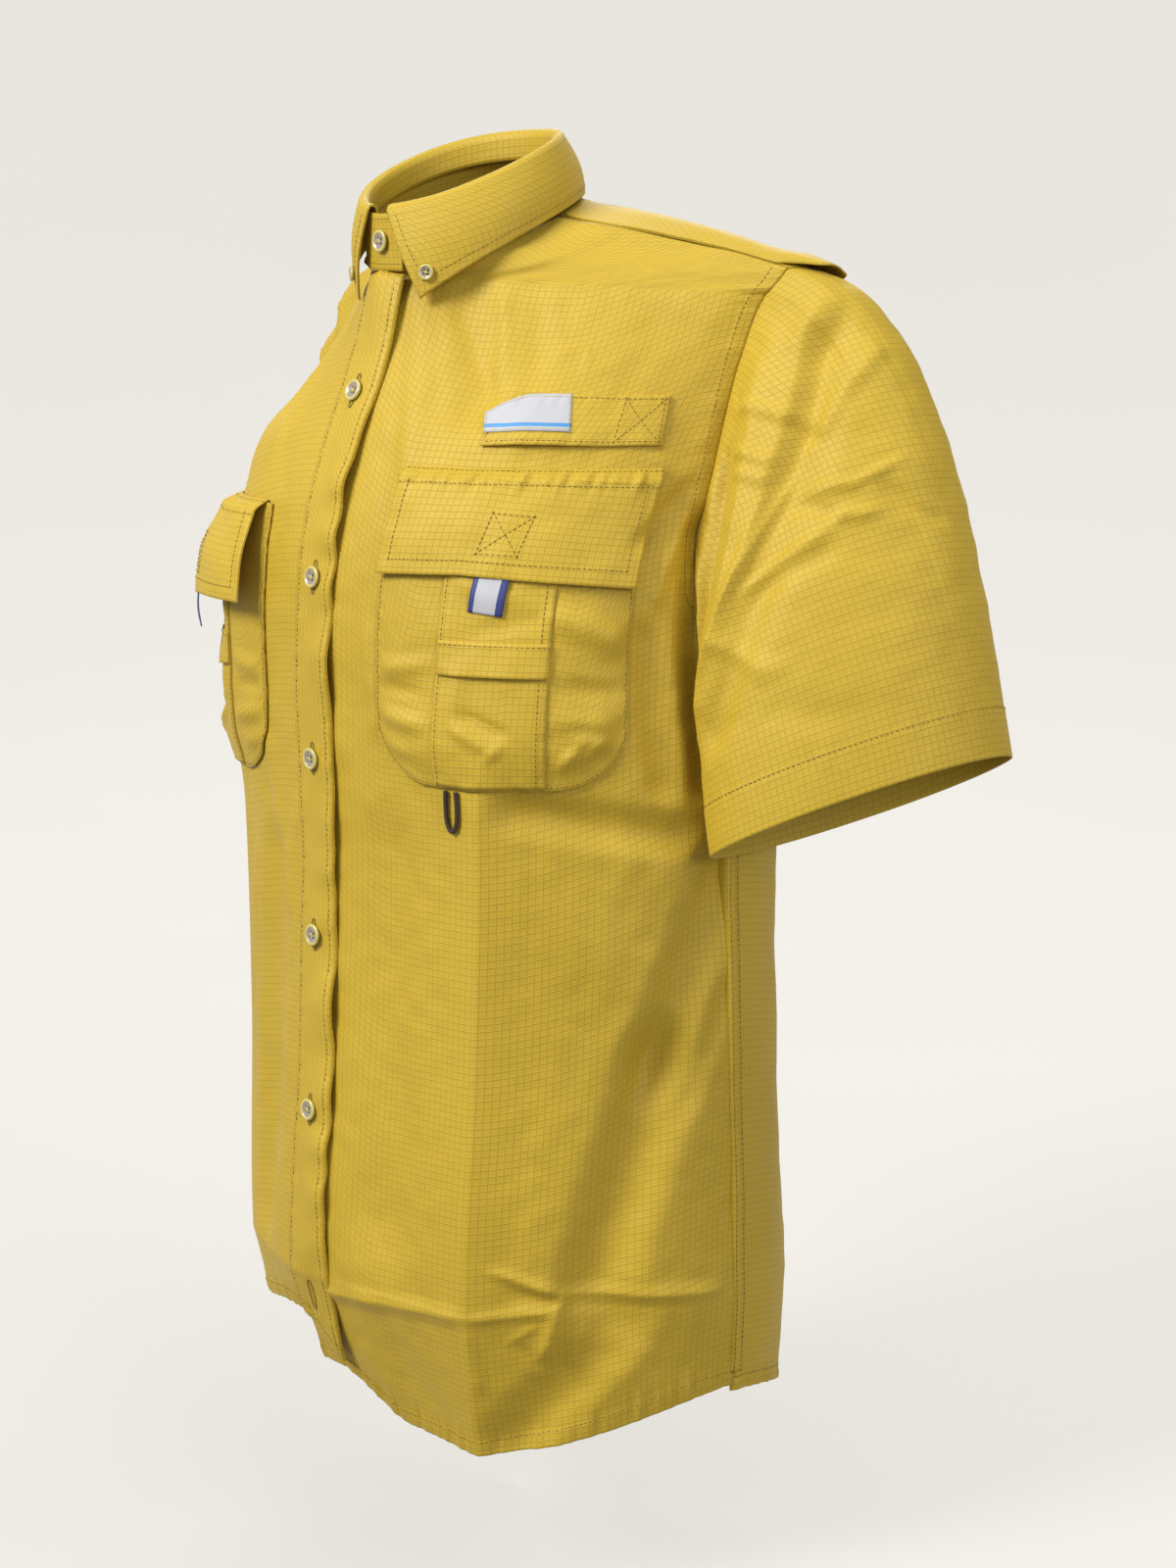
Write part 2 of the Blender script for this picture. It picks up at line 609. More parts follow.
def patch(name, panel, columns, rows, thick, shape):
    """A sewn-on piece: shape(u, v) gives s, h and the height of its lower face on the panel.
    rows is how many even rows it has, or the shares of its height where they lie."""

    def point(u, v, lift):
        s, h, off = shape(u, v)
        return panel.place(s, h, off + thick + lift)

    vs = np.linspace(0, 1, rows + 1) if isinstance(rows, int) else rows
    return shell(name, np.linspace(0, 1, columns + 1), vs, thick, point)


def front_grid(panel, hem, sizes, fineness):
    """Places of a front's grid: columns keep to the band's edge and to the pressed crease."""
    band = np.linspace(0, 1, 13)
    middle = np.linspace(0, 1, 47)[1:]
    side = np.linspace(0, 1, round(sizes.side_columns * fineness) + 1)[1:]
    share = 2 / 18
    crease = 0.48
    u = np.concatenate((band * share, mix(share, crease, middle), mix(crease, 1, side)))[:, None]
    inner = np.where(u < share, mix(-PLACKET_HALF, PLACKET_HALF, u / share),
                     mix(PLACKET_HALF, 285, (u - share) / (1 - share)))
    near = hem(inner) + HEM_ROWS
    low = mix(near[:, -1:], CREASE_LEVEL, np.linspace(0, 1, 55)[1:])
    above = np.linspace(CREASE_LEVEL, CREASE_LEVEL + 34, 25)[1:]
    rows = np.linspace(above[-1], NECK_LEVELS[0], sizes.front_rows + 1)[1:]
    rows = np.concatenate((above, rows))
    neck = np.interp(np.linspace(0, 4, 25)[1:], np.arange(5), NECK_LEVELS)
    upper = np.broadcast_to(np.concatenate((rows, neck)), (len(u), len(rows) + len(neck)))
    h = np.concatenate((near, low, upper), 1)
    wide = panel.length(h)
    lapped = np.where(
        u <= share, mix(-PLACKET_HALF, PLACKET_HALF, u / share),
        np.where(u <= crease, mix(PLACKET_HALF, CREASE_ACROSS, (u - share) / (crease - share)),
                 mix(CREASE_ACROSS, wide, (u - crease) / (1 - crease))),
    )
    # Towards the neck the rows no longer lap: they start beside the middle and are even.
    gap = 1.0
    return mix(lapped, mix(gap, wide, u), smooth(h, -54, -48)), h


def grid_piece(name, panel, s, h, off, thick):
    """A wall over places (s, h) of a panel, its outer face off above it."""
    uv = np.stack((s, run_length(panel.base(s, h), 1)), -1)
    return wall(name, panel.place(s, h, off), panel.place(s, h, off - thick), uv)


# Materials


def linear(code):
    """An sRGB hex colour as linear red, green, blue and alpha."""
    parts = [int(code[k:k + 2], 16) / 255 for k in (0, 2, 4)]
    light = (c / 12.92 if c <= 0.04045 else ((c + 0.055) / 1.055) ** 2.4 for c in parts)
    return (*light, 1.0)


def add_node(tree, kind, settings=None, inputs=None):
    """One node with its settings, and its inputs as values or links."""
    made = tree.nodes.new(kind)
    for name, value in (settings or {}).items():
        setattr(made, name, value)
    for name, value in (inputs or {}).items():
        if isinstance(value, bpy.types.NodeSocket):
            tree.links.new(value, made.inputs[name])
        else:
            made.inputs[name].default_value = value
    return made


def calculate(tree, operation, a, b=None):
    """The result of one sum or wave of the values a and b."""
    given = {0: a} if b is None else {0: a, 1: b}
    return add_node(tree, "ShaderNodeMath", {"operation": operation}, given).outputs[0]


def noise(tree, place, scale, detail, **more):
    """Soft noise about a place, from 0 to 1."""
    return add_node(tree, "ShaderNodeTexNoise", None,
                    {"Vector": place, "Scale": scale, "Detail": detail, **more}).outputs["Fac"]


def blend(tree, share, a, b):
    """The colour that lies share of the way from a to b."""
    return add_node(tree, "ShaderNodeMix", {"data_type": "RGBA"},
                    {"Factor": share, "A": a, "B": b}).outputs["Result"]


def relief_normal(tree, strength, distance, height, **more):
    """The surface's direction where height raises it by up to distance, in metres."""
    return add_node(tree, "ShaderNodeBump", None,
                    {"Strength": strength, "Distance": distance, "Height": height, **more}
                    ).outputs["Normal"]


def new_material(name):
    made = bpy.data.materials.new(name)
    made.use_nodes = True
    made.node_tree.nodes.clear()
    return made, made.node_tree


def finish_material(tree, inputs):
    shader = add_node(tree, "ShaderNodeBsdfPrincipled", None, inputs)
    add_node(tree, "ShaderNodeOutputMaterial", None, {"Surface": shader.outputs["BSDF"]})


# How far apart the weave's threads are drawn, and how much the grid's threads darken the cloth.
WEAVE_PITCH = 0.9
GRID_SHADE = 0.42


def cloth_material(name, colours, sizes):
    """Nylon ripstop: a thin plain weave whose thicker threads make a fine raised grid, which
    gives a soft silky gleam and shows as small squares."""
    made, tree = new_material(name)
    uv = add_node(tree, "ShaderNodeUVMap", {"uv_map": "cloth"}).outputs["UV"]
    cell = 1 / (sizes.ripstop_cell * MM)
    grid_place = add_node(tree, "ShaderNodeMapping", None,
                          {"Vector": uv, "Scale": (cell, cell, cell)}).outputs["Vector"]
    grid = add_node(
        tree, "ShaderNodeTexBrick", {"offset": 0.0, "squash": 1.0},
        {"Vector": grid_place, "Scale": 1.0, "Mortar Size": 0.12, "Mortar Smooth": 0.85,
         "Brick Width": 1.0, "Row Height": 1.0},
    ).outputs["Fac"]
    # The plain weave is too fine to show, so it is drawn about three times as coarse.
    thread = 2 * math.pi / (WEAVE_PITCH * MM)
    parts = add_node(tree, "ShaderNodeSeparateXYZ", None, {"Vector": uv}).outputs
    waves = [calculate(tree, "SINE", calculate(tree, "MULTIPLY", parts[axis], thread))
             for axis in "XY"]
    weave = calculate(tree, "MULTIPLY", *waves)
    place = add_node(tree, "ShaderNodeTexCoord").outputs["Object"]
    mottle = noise(tree, place, 9.0, 3.0, Roughness=0.5)
    creases = noise(tree, place, 55.0, 4.0, Roughness=0.55, Distortion=0.4)
    base = blend(tree, mottle, colours.cloth, colours.cloth_light)
    toned = blend(tree, calculate(tree, "MULTIPLY", grid, GRID_SHADE), base, colours.cloth_thread)
    soft = relief_normal(tree, 0.35, 0.0016, creases)
    ribs = relief_normal(tree, 0.55, 0.00025, grid, Normal=soft)
    fine = relief_normal(tree, 0.25, 0.00008, weave, Normal=ribs)
    finish_material(tree, {
        "Base Color": toned, "Roughness": 0.6, "IOR": 1.5, "Specular IOR Level": 0.42,
        "Normal": fine, "Sheen Weight": 0.16, "Sheen Roughness": 0.4,
        "Sheen Tint": colours.cloth_sheen,
    })
    return made


def plain_material(name, colour, roughness, bump_scale, bump, extra=None):
    """A plain finish with a fine uneven surface."""
    made, tree = new_material(name)
    place = add_node(tree, "ShaderNodeTexCoord").outputs["Object"]
    grain = noise(tree, place, bump_scale, 3.0)
    shade = tuple(c * 0.86 for c in colour[:3]) + (1.0,)
    tone = blend(tree, grain, colour, shade)
    normal = relief_normal(tree, 0.4, bump, grain)
    finish_material(tree, {"Base Color": tone, "Roughness": roughness, "Normal": normal,
                           **(extra or {})})
    return made


def woven_label_material(name, colour, mark, axis, stops, long):
    """Damask label: a dense satin weave in white polyester, with plain woven bars."""
    made, tree = new_material(name)
    uv = add_node(tree, "ShaderNodeUVMap", {"uv_map": "cloth"}).outputs["UV"]
    parts = add_node(tree, "ShaderNodeSeparateXYZ", None, {"Vector": uv}).outputs
    share = calculate(tree, "DIVIDE", parts[axis], long * MM)
    ramp = add_node(tree, "ShaderNodeValToRGB", None, {"Fac": share})
    ramp.color_ramp.interpolation = "CONSTANT"
    ramp.color_ramp.elements[0].color = mark if stops[0] == 0 else colour
    ramp.color_ramp.elements[1].position = 0.999
    ramp.color_ramp.elements[1].color = ramp.color_ramp.elements[0].color
    for k, stop in enumerate(stop for stop in stops if stop > 0):
        marked = (k % 2 == 0) != (stops[0] == 0)
        ramp.color_ramp.elements.new(stop).color = mark if marked else colour
    wave = add_node(tree, "ShaderNodeTexWave", {"bands_direction": "Y"},
                    {"Vector": uv, "Scale": 420.0, "Distortion": 0.4}).outputs["Fac"]
    normal = relief_normal(tree, 0.35, 0.0001, wave)
    finish_material(tree, {"Base Color": ramp.outputs["Color"], "Roughness": 0.55,
                           "Normal": normal})
    return made


def finish_piece(made, look, slot, *nodes):
    """Gives a piece its material, its body and the nodes that it stands for."""
    made.data.materials.clear()
    made.data.materials.append(look)
    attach(made, "root")
    if nodes:
        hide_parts(*nodes)
    return made


def looks():
    """The materials, made once."""
    found = {m.name: m for m in bpy.data.materials}
    scene = bpy.context.scene
    colours, sizes = scene.shirt_colours, scene.shirt_sizes
    if "ripstop_nylon" not in found:
        cloth_material("ripstop_nylon", colours, sizes)
        plain_material("polyester_thread", tuple(colours.thread), 0.6, 900, 0.0001)
        plain_material("pale_thread", tuple(colours.pale_thread), 0.55, 900, 0.0001)
        # Cast polyester made to look like shell: hard and smooth, with a soft gloss.
        gloss = {"IOR": 1.55, "Coat Weight": 0.3, "Coat Roughness": 0.15}
        plain_material("cast_polyester_dish", tuple(colours.button), 0.28, 260, 0.0001, gloss)
        plain_material("cast_polyester_rim", tuple(colours.button_rim), 0.3, 260, 0.0001, gloss)
        plain_material("braided_elastic", tuple(colours.cord), 0.75, 700, 0.0002)
        woven_label_material("woven_label", tuple(colours.label), tuple(colours.label_bar), "Y",
                             (0.14, 0.26), 21)
        woven_label_material("woven_tab", tuple(colours.label), tuple(colours.tab_bar), "X",
                             (0, 0.16, 0.84), 20)
    return bpy.data.materials


# Stitches


def stitch_tree():
    """Sews a line: a short rounded stitch at every step along each curve of the input."""
    name = "stitch_line"
    if name in bpy.data.node_groups:
        return bpy.data.node_groups[name]
    tree = bpy.data.node_groups.new(name, "GeometryNodeTree")
    face = tree.interface
    face.new_socket("Lines", in_out="INPUT", socket_type="NodeSocketGeometry")
    for label in ("Pitch", "Stitch", "Thickness"):
        face.new_socket(label, in_out="INPUT", socket_type="NodeSocketFloat")
    face.new_socket("Seed", in_out="INPUT", socket_type="NodeSocketInt")
    face.new_socket("Thread", in_out="INPUT", socket_type="NodeSocketMaterial")
    face.new_socket("Stitches", in_out="OUTPUT", socket_type="NodeSocketGeometry")
    given = add_node(tree, "NodeGroupInput").outputs
    curve = add_node(tree, "GeometryNodeMeshToCurve", None,
                     {"Mesh": given["Lines"]}).outputs["Curve"]
    even = add_node(tree, "GeometryNodeResampleCurve", {"mode": "LENGTH"},
                    {"Curve": curve, "Length": given["Pitch"]}).outputs["Curve"]
    tangent = add_node(tree, "GeometryNodeInputTangent").outputs["Tangent"]
    turned = add_node(tree, "FunctionNodeAlignRotationToVector", {"axis": "Z"},
                      {"Vector": tangent}).outputs["Rotation"]
    bead = add_node(tree, "GeometryNodeMeshUVSphere", None,
                    {"Segments": 5, "Rings": 4, "Radius": 0.5}).outputs["Mesh"]
    size = add_node(tree, "ShaderNodeCombineXYZ", None,
                    {"X": given["Thickness"], "Y": given["Thickness"],
                     "Z": given["Stitch"]}).outputs[0]
    stitch = add_node(tree, "GeometryNodeTransform", None,
                      {"Geometry": bead, "Scale": size}).outputs["Geometry"]
    uneven = add_node(tree, "FunctionNodeRandomValue", {"data_type": "FLOAT"},
                      {"Min": 0.88, "Max": 1.1, "Seed": given["Seed"]})
    chosen = [s for s in uneven.outputs if s.enabled][0]
    placed = add_node(tree, "GeometryNodeInstanceOnPoints", None,
                      {"Points": even, "Instance": stitch, "Rotation": turned,
                       "Scale": chosen}).outputs["Instances"]
    real = add_node(tree, "GeometryNodeRealizeInstances", None,
                    {"Geometry": placed}).outputs["Geometry"]
    dyed = add_node(tree, "GeometryNodeSetMaterial", None,
                    {"Geometry": real, "Material": given["Thread"]}).outputs["Geometry"]
    add_node(tree, "NodeGroupOutput", None, {"Stitches": dyed})
    return tree


def sew(name, lines, thread="polyester_thread", pitch=None, stitch=None):
    """One piece with all the stitches of these lines. Each line is a list of places."""
    sizes = bpy.context.scene.shirt_sizes
    points, edges = [], []
    for line in lines:
        start = len(points)
        points += (np.asarray(line, float) * MM).tolist()
        edges += [(k, k + 1) for k in range(start, len(points) - 1)]
    mesh = bpy.data.meshes.new(name + "_lines")
    mesh.from_pydata(points, edges, [])
    guide = link(name + "_lines", mesh)
    tree = stitch_tree()
    modifier = guide.modifiers.new("stitches", "NODES")
    modifier.node_group = tree
    values = {
        "Pitch": (pitch or sizes.stitch_pitch) * MM,
        "Stitch": (stitch or sizes.stitch_length) * MM,
        "Thickness": sizes.stitch_thickness * MM,
        "Seed": SEED,
        "Thread": looks()[thread],
    }
    for item in tree.interface.items_tree:
        if item.in_out == "INPUT" and item.name in values:
            modifier[item.identifier] = values[item.name]
    graph = bpy.context.evaluated_depsgraph_get()
    graph.update()
    sewn = bpy.data.meshes.new_from_object(guide.evaluated_get(graph))
    sewn.name = name
    guide.modifiers.clear()
    bpy.data.objects.remove(guide)
    for layer in list(sewn.uv_layers):
        sewn.uv_layers.remove(layer)
    sewn.shade_smooth()
    made = link(name, sewn)
    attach(made, "root")
    return made


# Pieces


class ShirtSizes(bpy.types.PropertyGroup):
    cloth_wall: FloatProperty(name="Cloth wall", default=0.8, min=0.3, max=1.2,
                              description="Thickness of the cloth, in millimetres")
    ripstop_cell: FloatProperty(name="Ripstop cell", default=4.2, min=1,
                                description="Width of one square of the ripstop, in millimetres")
    stitch_pitch: FloatProperty(name="Stitch pitch", default=3.1, min=1,
                                description="From one stitch to the next, in millimetres")
    stitch_length: FloatProperty(name="Stitch length", default=2.4, min=0.5,
                                 description="Length of one stitch, in millimetres")
    stitch_thickness: FloatProperty(name="Thread thickness", default=0.5, min=0.2,
                                    description="Thickness of the sewing thread, in millimetres")
    button: FloatProperty(name="Button", default=13.5, min=8,
                          description="Diameter of the front buttons, in millimetres")
    tip_button: FloatProperty(name="Tip button", default=9.5, min=6,
                              description="Diameter of the collar buttons, in millimetres")
    front_rows: IntProperty(name="Front rows", default=190, min=60,
                            description="Rows of the fronts between the crease and the neck")
    side_columns: IntProperty(name="Side columns", default=66, min=20,
                              description="Columns of the fronts beyond the pressed crease")
    floor: FloatProperty(name="Floor level", default=-0.83, unit="LENGTH",
                         description="Level of the floor below the origin")


def colour_property(name, code, description):
    return FloatVectorProperty(name=name, description=description, subtype="COLOR", size=4,
                               min=0, max=1, default=linear(code))


class ShirtColours(bpy.types.PropertyGroup):
    cloth: colour_property("Cloth", "AE901A", "Dyed nylon, its darker part")
    cloth_light: colour_property("Cloth light", "C1A328", "Dyed nylon, its lighter part")
    cloth_thread: colour_property("Ripstop thread", "987B16", "The thicker threads of the grid")
    cloth_sheen: colour_property("Sheen", "FFE9A0", "Gleam of the nylon at a low angle")
    thread: colour_property("Thread", "7C6210", "Sewing thread, in the colour of the cloth")
    pale_thread: colour_property("Pale thread", "C9BA5A", "Thread of the bar tacks")
    button: colour_property("Button", "93877C", "Dished face of the buttons")
    button_rim: colour_property("Button rim", "C2B565", "Rim of the buttons")
    label: colour_property("Label", "ADADB2", "Woven label")
    label_bar: colour_property("Label bar", "3E86BC", "Plain bar of the label")
    tab_bar: colour_property("Tab bar", "232C6A", "Side bars of the tab")
    cord: colour_property("Cord", "2C1E12", "Elastic cord")
    floor: colour_property("Floor", "EFECE6", "Glow of the floor and background, lit from behind")
    floor_shade: colour_property("Floor shade", "5E5C58", "Colour of the paper itself")


class Step:
    """What every operator of the shirt shares."""

    bl_options = {"REGISTER", "UNDO"}

    def execute(self, context):
        self.build(context.scene.shirt_sizes, looks())
        return {"FINISHED"}


class SHIRT_OT_camera(bpy.types.Operator):
    """Adds the camera at the photograph's viewing angle"""

    bl_idname = "shirt.camera"
    bl_label = "Camera"

    def execute(self, context):
        azimuth, pitch = math.radians(PHOTO["azimuth"]), math.radians(PHOTO["pitch"])
        yaw = math.atan(PHOTO["aside"] / PHOTO["focal"] * math.cos(pitch))
        ahead = Vector((-math.sin(azimuth), math.cos(azimuth), 0))
        ahead = Matrix.Rotation(-yaw, 3, "Z") @ ahead
        look = ahead * math.cos(pitch) - Vector((0, 0, math.sin(pitch)))
        right = look.cross(Vector((0, 0, 1))).normalized()
        up = right.cross(look)
        data = bpy.data.cameras.new("photo_view")
        data.sensor_width = PHOTO["sensor"]
        data.lens = PHOTO["focal"] / PHOTO["high"] * PHOTO["sensor"]
        data.clip_end = 60
        camera = bpy.data.objects.new("photo_view", data)
        turn = Matrix((right, up, -look)).transposed().to_4x4()
        away = PHOTO["distance"]
        spot = Vector((away * math.sin(azimuth), -away * math.cos(azimuth), PHOTO["level"]))
        camera.matrix_world = Matrix.Translation(spot) @ turn
        context.scene.collection.objects.link(camera)
        context.scene.camera = camera
        return {"FINISHED"}


class SHIRT_OT_loop(Step, bpy.types.Operator):
    """Adds the elastic cord loop under the left pocket"""

    bl_idname = "shirt.loop"
    bl_label = "Cord loop"

    def build(self, sizes, look):
        a = np.linspace(0, np.pi, 40)
        down = np.sin(a) ** 0.8
        aside = np.cos(a) * mix(LOOP["spread"], LOOP["wide"], down)
        route = PANELS["left"].place(LOOP["across"] - aside, LOOP["level"] - LOOP["long"] * down,
                                     LAYER + LOOP["cord"] / 2)
        length = np.linalg.norm(np.diff(route, axis=0), axis=1).sum() * MM
        curve = bpy.data.curves.new("cord_loop_elastic", "CURVE")
        curve.dimensions = "3D"
        curve.bevel_depth = LOOP["cord"] / 2 * MM
        curve.bevel_resolution = 4
        curve.use_fill_caps = True
        spline = curve.splines.new("POLY")
        spline.points.add(len(route) - 1)
        for spot, place in zip(spline.points, route):
            spot.co = (*(place * MM), 1)
        spline.use_smooth = True
        cord = bpy.data.objects.new("cord_loop_elastic", curve)
        bpy.context.scene.collection.objects.link(cord)
        finish_piece(cord, look["braided_elastic"], "cord", "cord_loop")


class SHIRT_OT_fronts(Step, bpy.types.Operator):
    """Adds the two fronts with their hems and armhole stitches"""

    bl_idname = "shirt.fronts"
    bl_label = "Fronts"

    def build(self, sizes, look):
        for side, hem in (("left", left_hem), ("right", right_hem)):
            panel = PANELS[side]
            # The right front's side is turned away from the camera, so fewer columns do there.
            s, h = front_grid(panel, hem, sizes, 1 if side == "left" else 0.55)
            made = grid_piece(f"front_{side}_cloth", panel, s, h, 0, sizes.cloth_wall)
            finish_piece(made, look["ripstop_nylon"], "cloth", f"front_{side}")
            across = np.linspace(-17 if side == "left" else 20, panel.length(hem(280)) - 1, 150)
            lines = [panel.place(across, hem(across) + HEM_STITCHES, 0.2)]
            h = np.linspace(ARMHOLE_LOW, -34, 90)
            lines.append(panel.place(panel.length(h) - ARMHOLE_STITCHES, h, 0.3))
            sew(f"front_{side}_stitches", lines)


class SHIRT_OT_band(Step, bpy.types.Operator):
    """Adds the buttoned front band"""

    bl_idname = "shirt.band"
    bl_label = "Front band"

    def build(self, sizes, look):
        panel = PANELS["right"]
        s = np.linspace(-PLACKET_HALF, PLACKET_HALF, 19)[:, None]
        near = right_hem(s) + np.linspace(0, 18, 9)
        low = mix(near[:, -1:], CREASE_LEVEL, np.linspace(0, 1, 12)[1:])
        rows = np.broadcast_to(np.linspace(CREASE_LEVEL, -50, 221)[1:], (len(s), 220))
        h = np.concatenate((near, low, rows), 1)
        s = np.broadcast_to(s, h.shape)
        edge = PLACKET_HALF - np.abs(s)
        off = BAND_FACE + 0.28 * pucker(h, edge - 4, 5, 2) - 0.5 * (1 - smooth(edge, 0, 1.6))
        off = off + LAYER * 0.65 * smooth(h, -58, -52)
        made = grid_piece("placket_cloth", panel, s, h, off, PLACKET_WALL)
        finish_piece(made, look["ripstop_nylon"], "cloth", "placket")
        lines = []
        for across in (PLACKET_HALF - 3, 4.5 - PLACKET_HALF):
            lines.append(panel.place(across, np.linspace(right_hem(across) + 3, -58, 260),
                                     BAND_FACE + STITCH_LIFT))
        bottom = np.linspace(-PLACKET_HALF, PLACKET_HALF, 14)
        lines.append(panel.place(bottom, right_hem(bottom) + HEM_STITCHES, BAND_FACE + STITCH_LIFT))
        sew("placket_stitches", lines)


def back_point(across, bottom, v, gap, place):
    """A place of the back: its rows end at the neck over the shoulder."""
    side = np.abs(across)
    top = mix(-20 - gap * 1.4, -0.4, np.minimum(1, side / NECK_SHARE))
    h = np.where(v < 0.7, mix(bottom, -42, v / 0.7), mix(-42, top, (v - 0.7) / 0.3))
    at_neck = np.maximum(0, side - NECK_SHARE) / (1 - NECK_SHARE)
    share = mix(side, at_neck, smooth(v, 0.5, 1) ** 1.3)
    clear = gap * smooth(v, 0.85, 1) * np.where((side < 0.001) & (v < 1), 0, 1)
    left, right = PANELS["back_left"], PANELS["back_right"]
    return np.where(
        (across < 0)[..., None],
        place(right, mix(clear, right.length(h), share), h, share),
        place(left, mix(clear, left.length(h), share), h, share),
    )


def back_rows(lower):
    """Rows of the back from the hem: the lower ones evenly, then those over the shoulder."""
    return np.concatenate((np.linspace(0, 0.7, lower + 1), np.linspace(0.7, 1, 34)[1:]))


class SHIRT_OT_back(Step, bpy.types.Operator):
    """Adds the back panel and the side seams"""

    bl_idname = "shirt.back"
    bl_label = "Back"

    def build(self, sizes, look):
        across = np.linspace(-1, 1, 121)
        # The hem's rows as shares of the rows' run, of which 0.7 is the 690 mm below the shoulder.
        rows = np.concatenate((HEM_ROWS / (690 / 0.7), back_rows(130)[4:]))

        def point(u, v, lift):
            return back_point(u, back_hem(u), v, 1.0,
                              lambda panel, s, h, share: panel.place(s, h, lift))

        made = shell("back_cloth", across, rows, sizes.cloth_wall, point, anchor=60)
        finish_piece(made, look["ripstop_nylon"], "cloth", "back")
        lines = []
        for side in ("left", "right"):
            panel = PANELS["back_" + side]
            wide = panel.length(-720)
            run = np.linspace(0, wide - 1, 130)
            lines.append(panel.place(run, back_hem(run / wide) + HEM_STITCHES, 0.1))
            h = np.linspace(ARMHOLE_LOW, -60, 80)
            lines.append(panel.place(panel.length(h) - ARMHOLE_STITCHES, h, 0.3))
            lines += self.side_seam(side, look)
        sew("back_stitches", lines)

    def side_seam(self, side, look):
        """The felled seam that joins front and back, with its two rows of stitches."""
        front, back = PANELS[side], PANELS["back_" + side]
        low = -698 if side == "left" else -690
        h = np.linspace(low, -256, 170)
        outer = np.stack(
            [back.place(back.length(h) - inset, h, off)
             for inset, off in ((9.2, -0.1), (8.6, 0.65), (4.5, 0.8), (0.3, 0.7))]
            + [front.place(front.length(h) - 0.8, h, -0.1)]
        )
        inner = np.stack(
            [back.place(back.length(h) - inset, h, -0.5) for inset in (9.2, 8.6, 4.5, 0.3)]
            + [front.place(front.length(h) - 0.8, h, -0.5)]
        )
        uv = np.stack((run_length(outer, 0), run_length(outer, 1)), -1)
        made = wall(f"side_seam_{side}", outer, inner, uv)
        finish_piece(made, look["ripstop_nylon"], "cloth")
        return [back.place(back.length(h) - inset, h, 0.95) for inset in (7.4, 1.4)]


class SHIRT_OT_cape(Step, bpy.types.Operator):
    """Adds the cape, which is free at its sides and below"""

    bl_idname = "shirt.cape"
    bl_label = "Back cape"

    def build(self, sizes, look):
        def place(panel, s, h, share, lift, v):
            over = smooth(h, -60, -28) * (1 - smooth(h, -10, 0))
            side = smooth(share, 0.72, 1)
            # It lies close at the neck, its side stands up over the shoulder, and its free lower
            # edge hangs off the back in waves.
            off = LAYER + 1.2 + 0.3 * over + side * (6 * over + 0.6)
            off = off - 1.1 * smooth(h, -12, -2)
            wave = 2.0 * np.sin(s / 26.0) * (1 - smooth(v, 0, 0.3))
            off = off + (2.5 + wave) * (1 - smooth(v, 0, 0.2)) + 0.3 * pucker(s, 270 * v - 9, 8, 6)
            return panel.place(s + share * mix(-7, 18, over), h, off + lift)

        def point(u, v, lift):
            return back_point(u, CAPE_EDGE, v, 3.0,
                              lambda panel, s, h, share: place(panel, s, h, share, lift, v))

        across = np.linspace(-1, 1, 121)
        made = shell("cape_cloth", across, back_rows(50), sizes.cloth_wall, point, anchor=60)
        finish_piece(made, look["ripstop_nylon"], "cloth", "cape")


class Sleeve:
    """A sleeve's surface: w goes round from the underarm by the front, t down to the hem."""

    def __init__(self, side):
        self.side = side
        self.ring = table(RING_NAMES, SLEEVE_RING)

    def armhole(self, w, h):
        front, back = PANELS["left"], PANELS["back_left"]
        level = h * smooth(w, YOKE_W, 0.52)
        return np.where(
            (w <= YOKE_W)[..., None],
            front.place(front.length(h), h, -0.5),
            back.place(back.length(level), level, -0.5),
        )

    def base(self, w, t):
        w = np.mod(w, 1)
        at = {name: column(self.ring, "w", name, w) for name in self.ring}
        hem, phi, heading = SLEEVE_HEM, np.radians(at["phi"]), math.radians(SLEEVE_HEM["heading"])
        along = hem["wide"] * np.sign(np.cos(phi)) * np.abs(np.cos(phi)) ** 0.9
        aside = hem["deep"] * np.sign(np.sin(phi)) * np.abs(np.sin(phi)) ** 1.15
        end = np.stack(
            (hem["x"] + along * math.cos(heading) + aside * math.sin(heading),
             hem["y"] + along * math.sin(heading) - aside * math.cos(heading),
             hem["z"] + along * hem["tilt_wide"] + aside * hem["tilt_deep"]), -1)
        start = self.armhole(w, at["h"])
        go, fall = np.radians(at["go"]), np.radians(at["fall"])
        leave = np.stack((np.cos(go) * np.cos(fall), np.sin(go) * np.cos(fall), -np.sin(fall)), -1)
        one = start + leave * at["keep"][:, None]
        two = end - unit(np.array([0.2, 0.04, -1])) * at["hang"][:, None]
        t = np.asarray(t)[..., None]
        parts = [p[:, None] for p in (start, one, two, end)]
        return ((1 - t) ** 3 * parts[0] + 3 * (1 - t) ** 2 * t * parts[1]
                + 3 * (1 - t) * t**2 * parts[2] + t**3 * parts[3])

    def down(self, w, away):
        """The t of places that lie away above the hem, for each w, and the cloth's length."""
        t = np.broadcast_to(np.linspace(1, 0, 81), (len(w), 81))
        run = run_length(self.base(w, t), 1)
        return np.array([np.interp(a, r, x) for a, r, x in zip(away, run, t)]), run[:, -1]

    def place(self, w, t, off, detail):
        step = 0.004
        around = self.base(w + step, t) - self.base(w - step, t)
        down = self.base(w, np.minimum(1, t + step)) - self.base(w, np.maximum(0, t - step))
        normal = unit(np.cross(down, around))
        high = fold_height(SLEEVE_FOLDS, w[:, None] * SLEEVE_ROUND, t * SLEEVE_LONG, 0.9)
        p = self.base(w, t) + normal * (off + (high + detail) * smooth(t, 0, 0.12))[..., None]
        p[..., 0] *= self.side
        return p


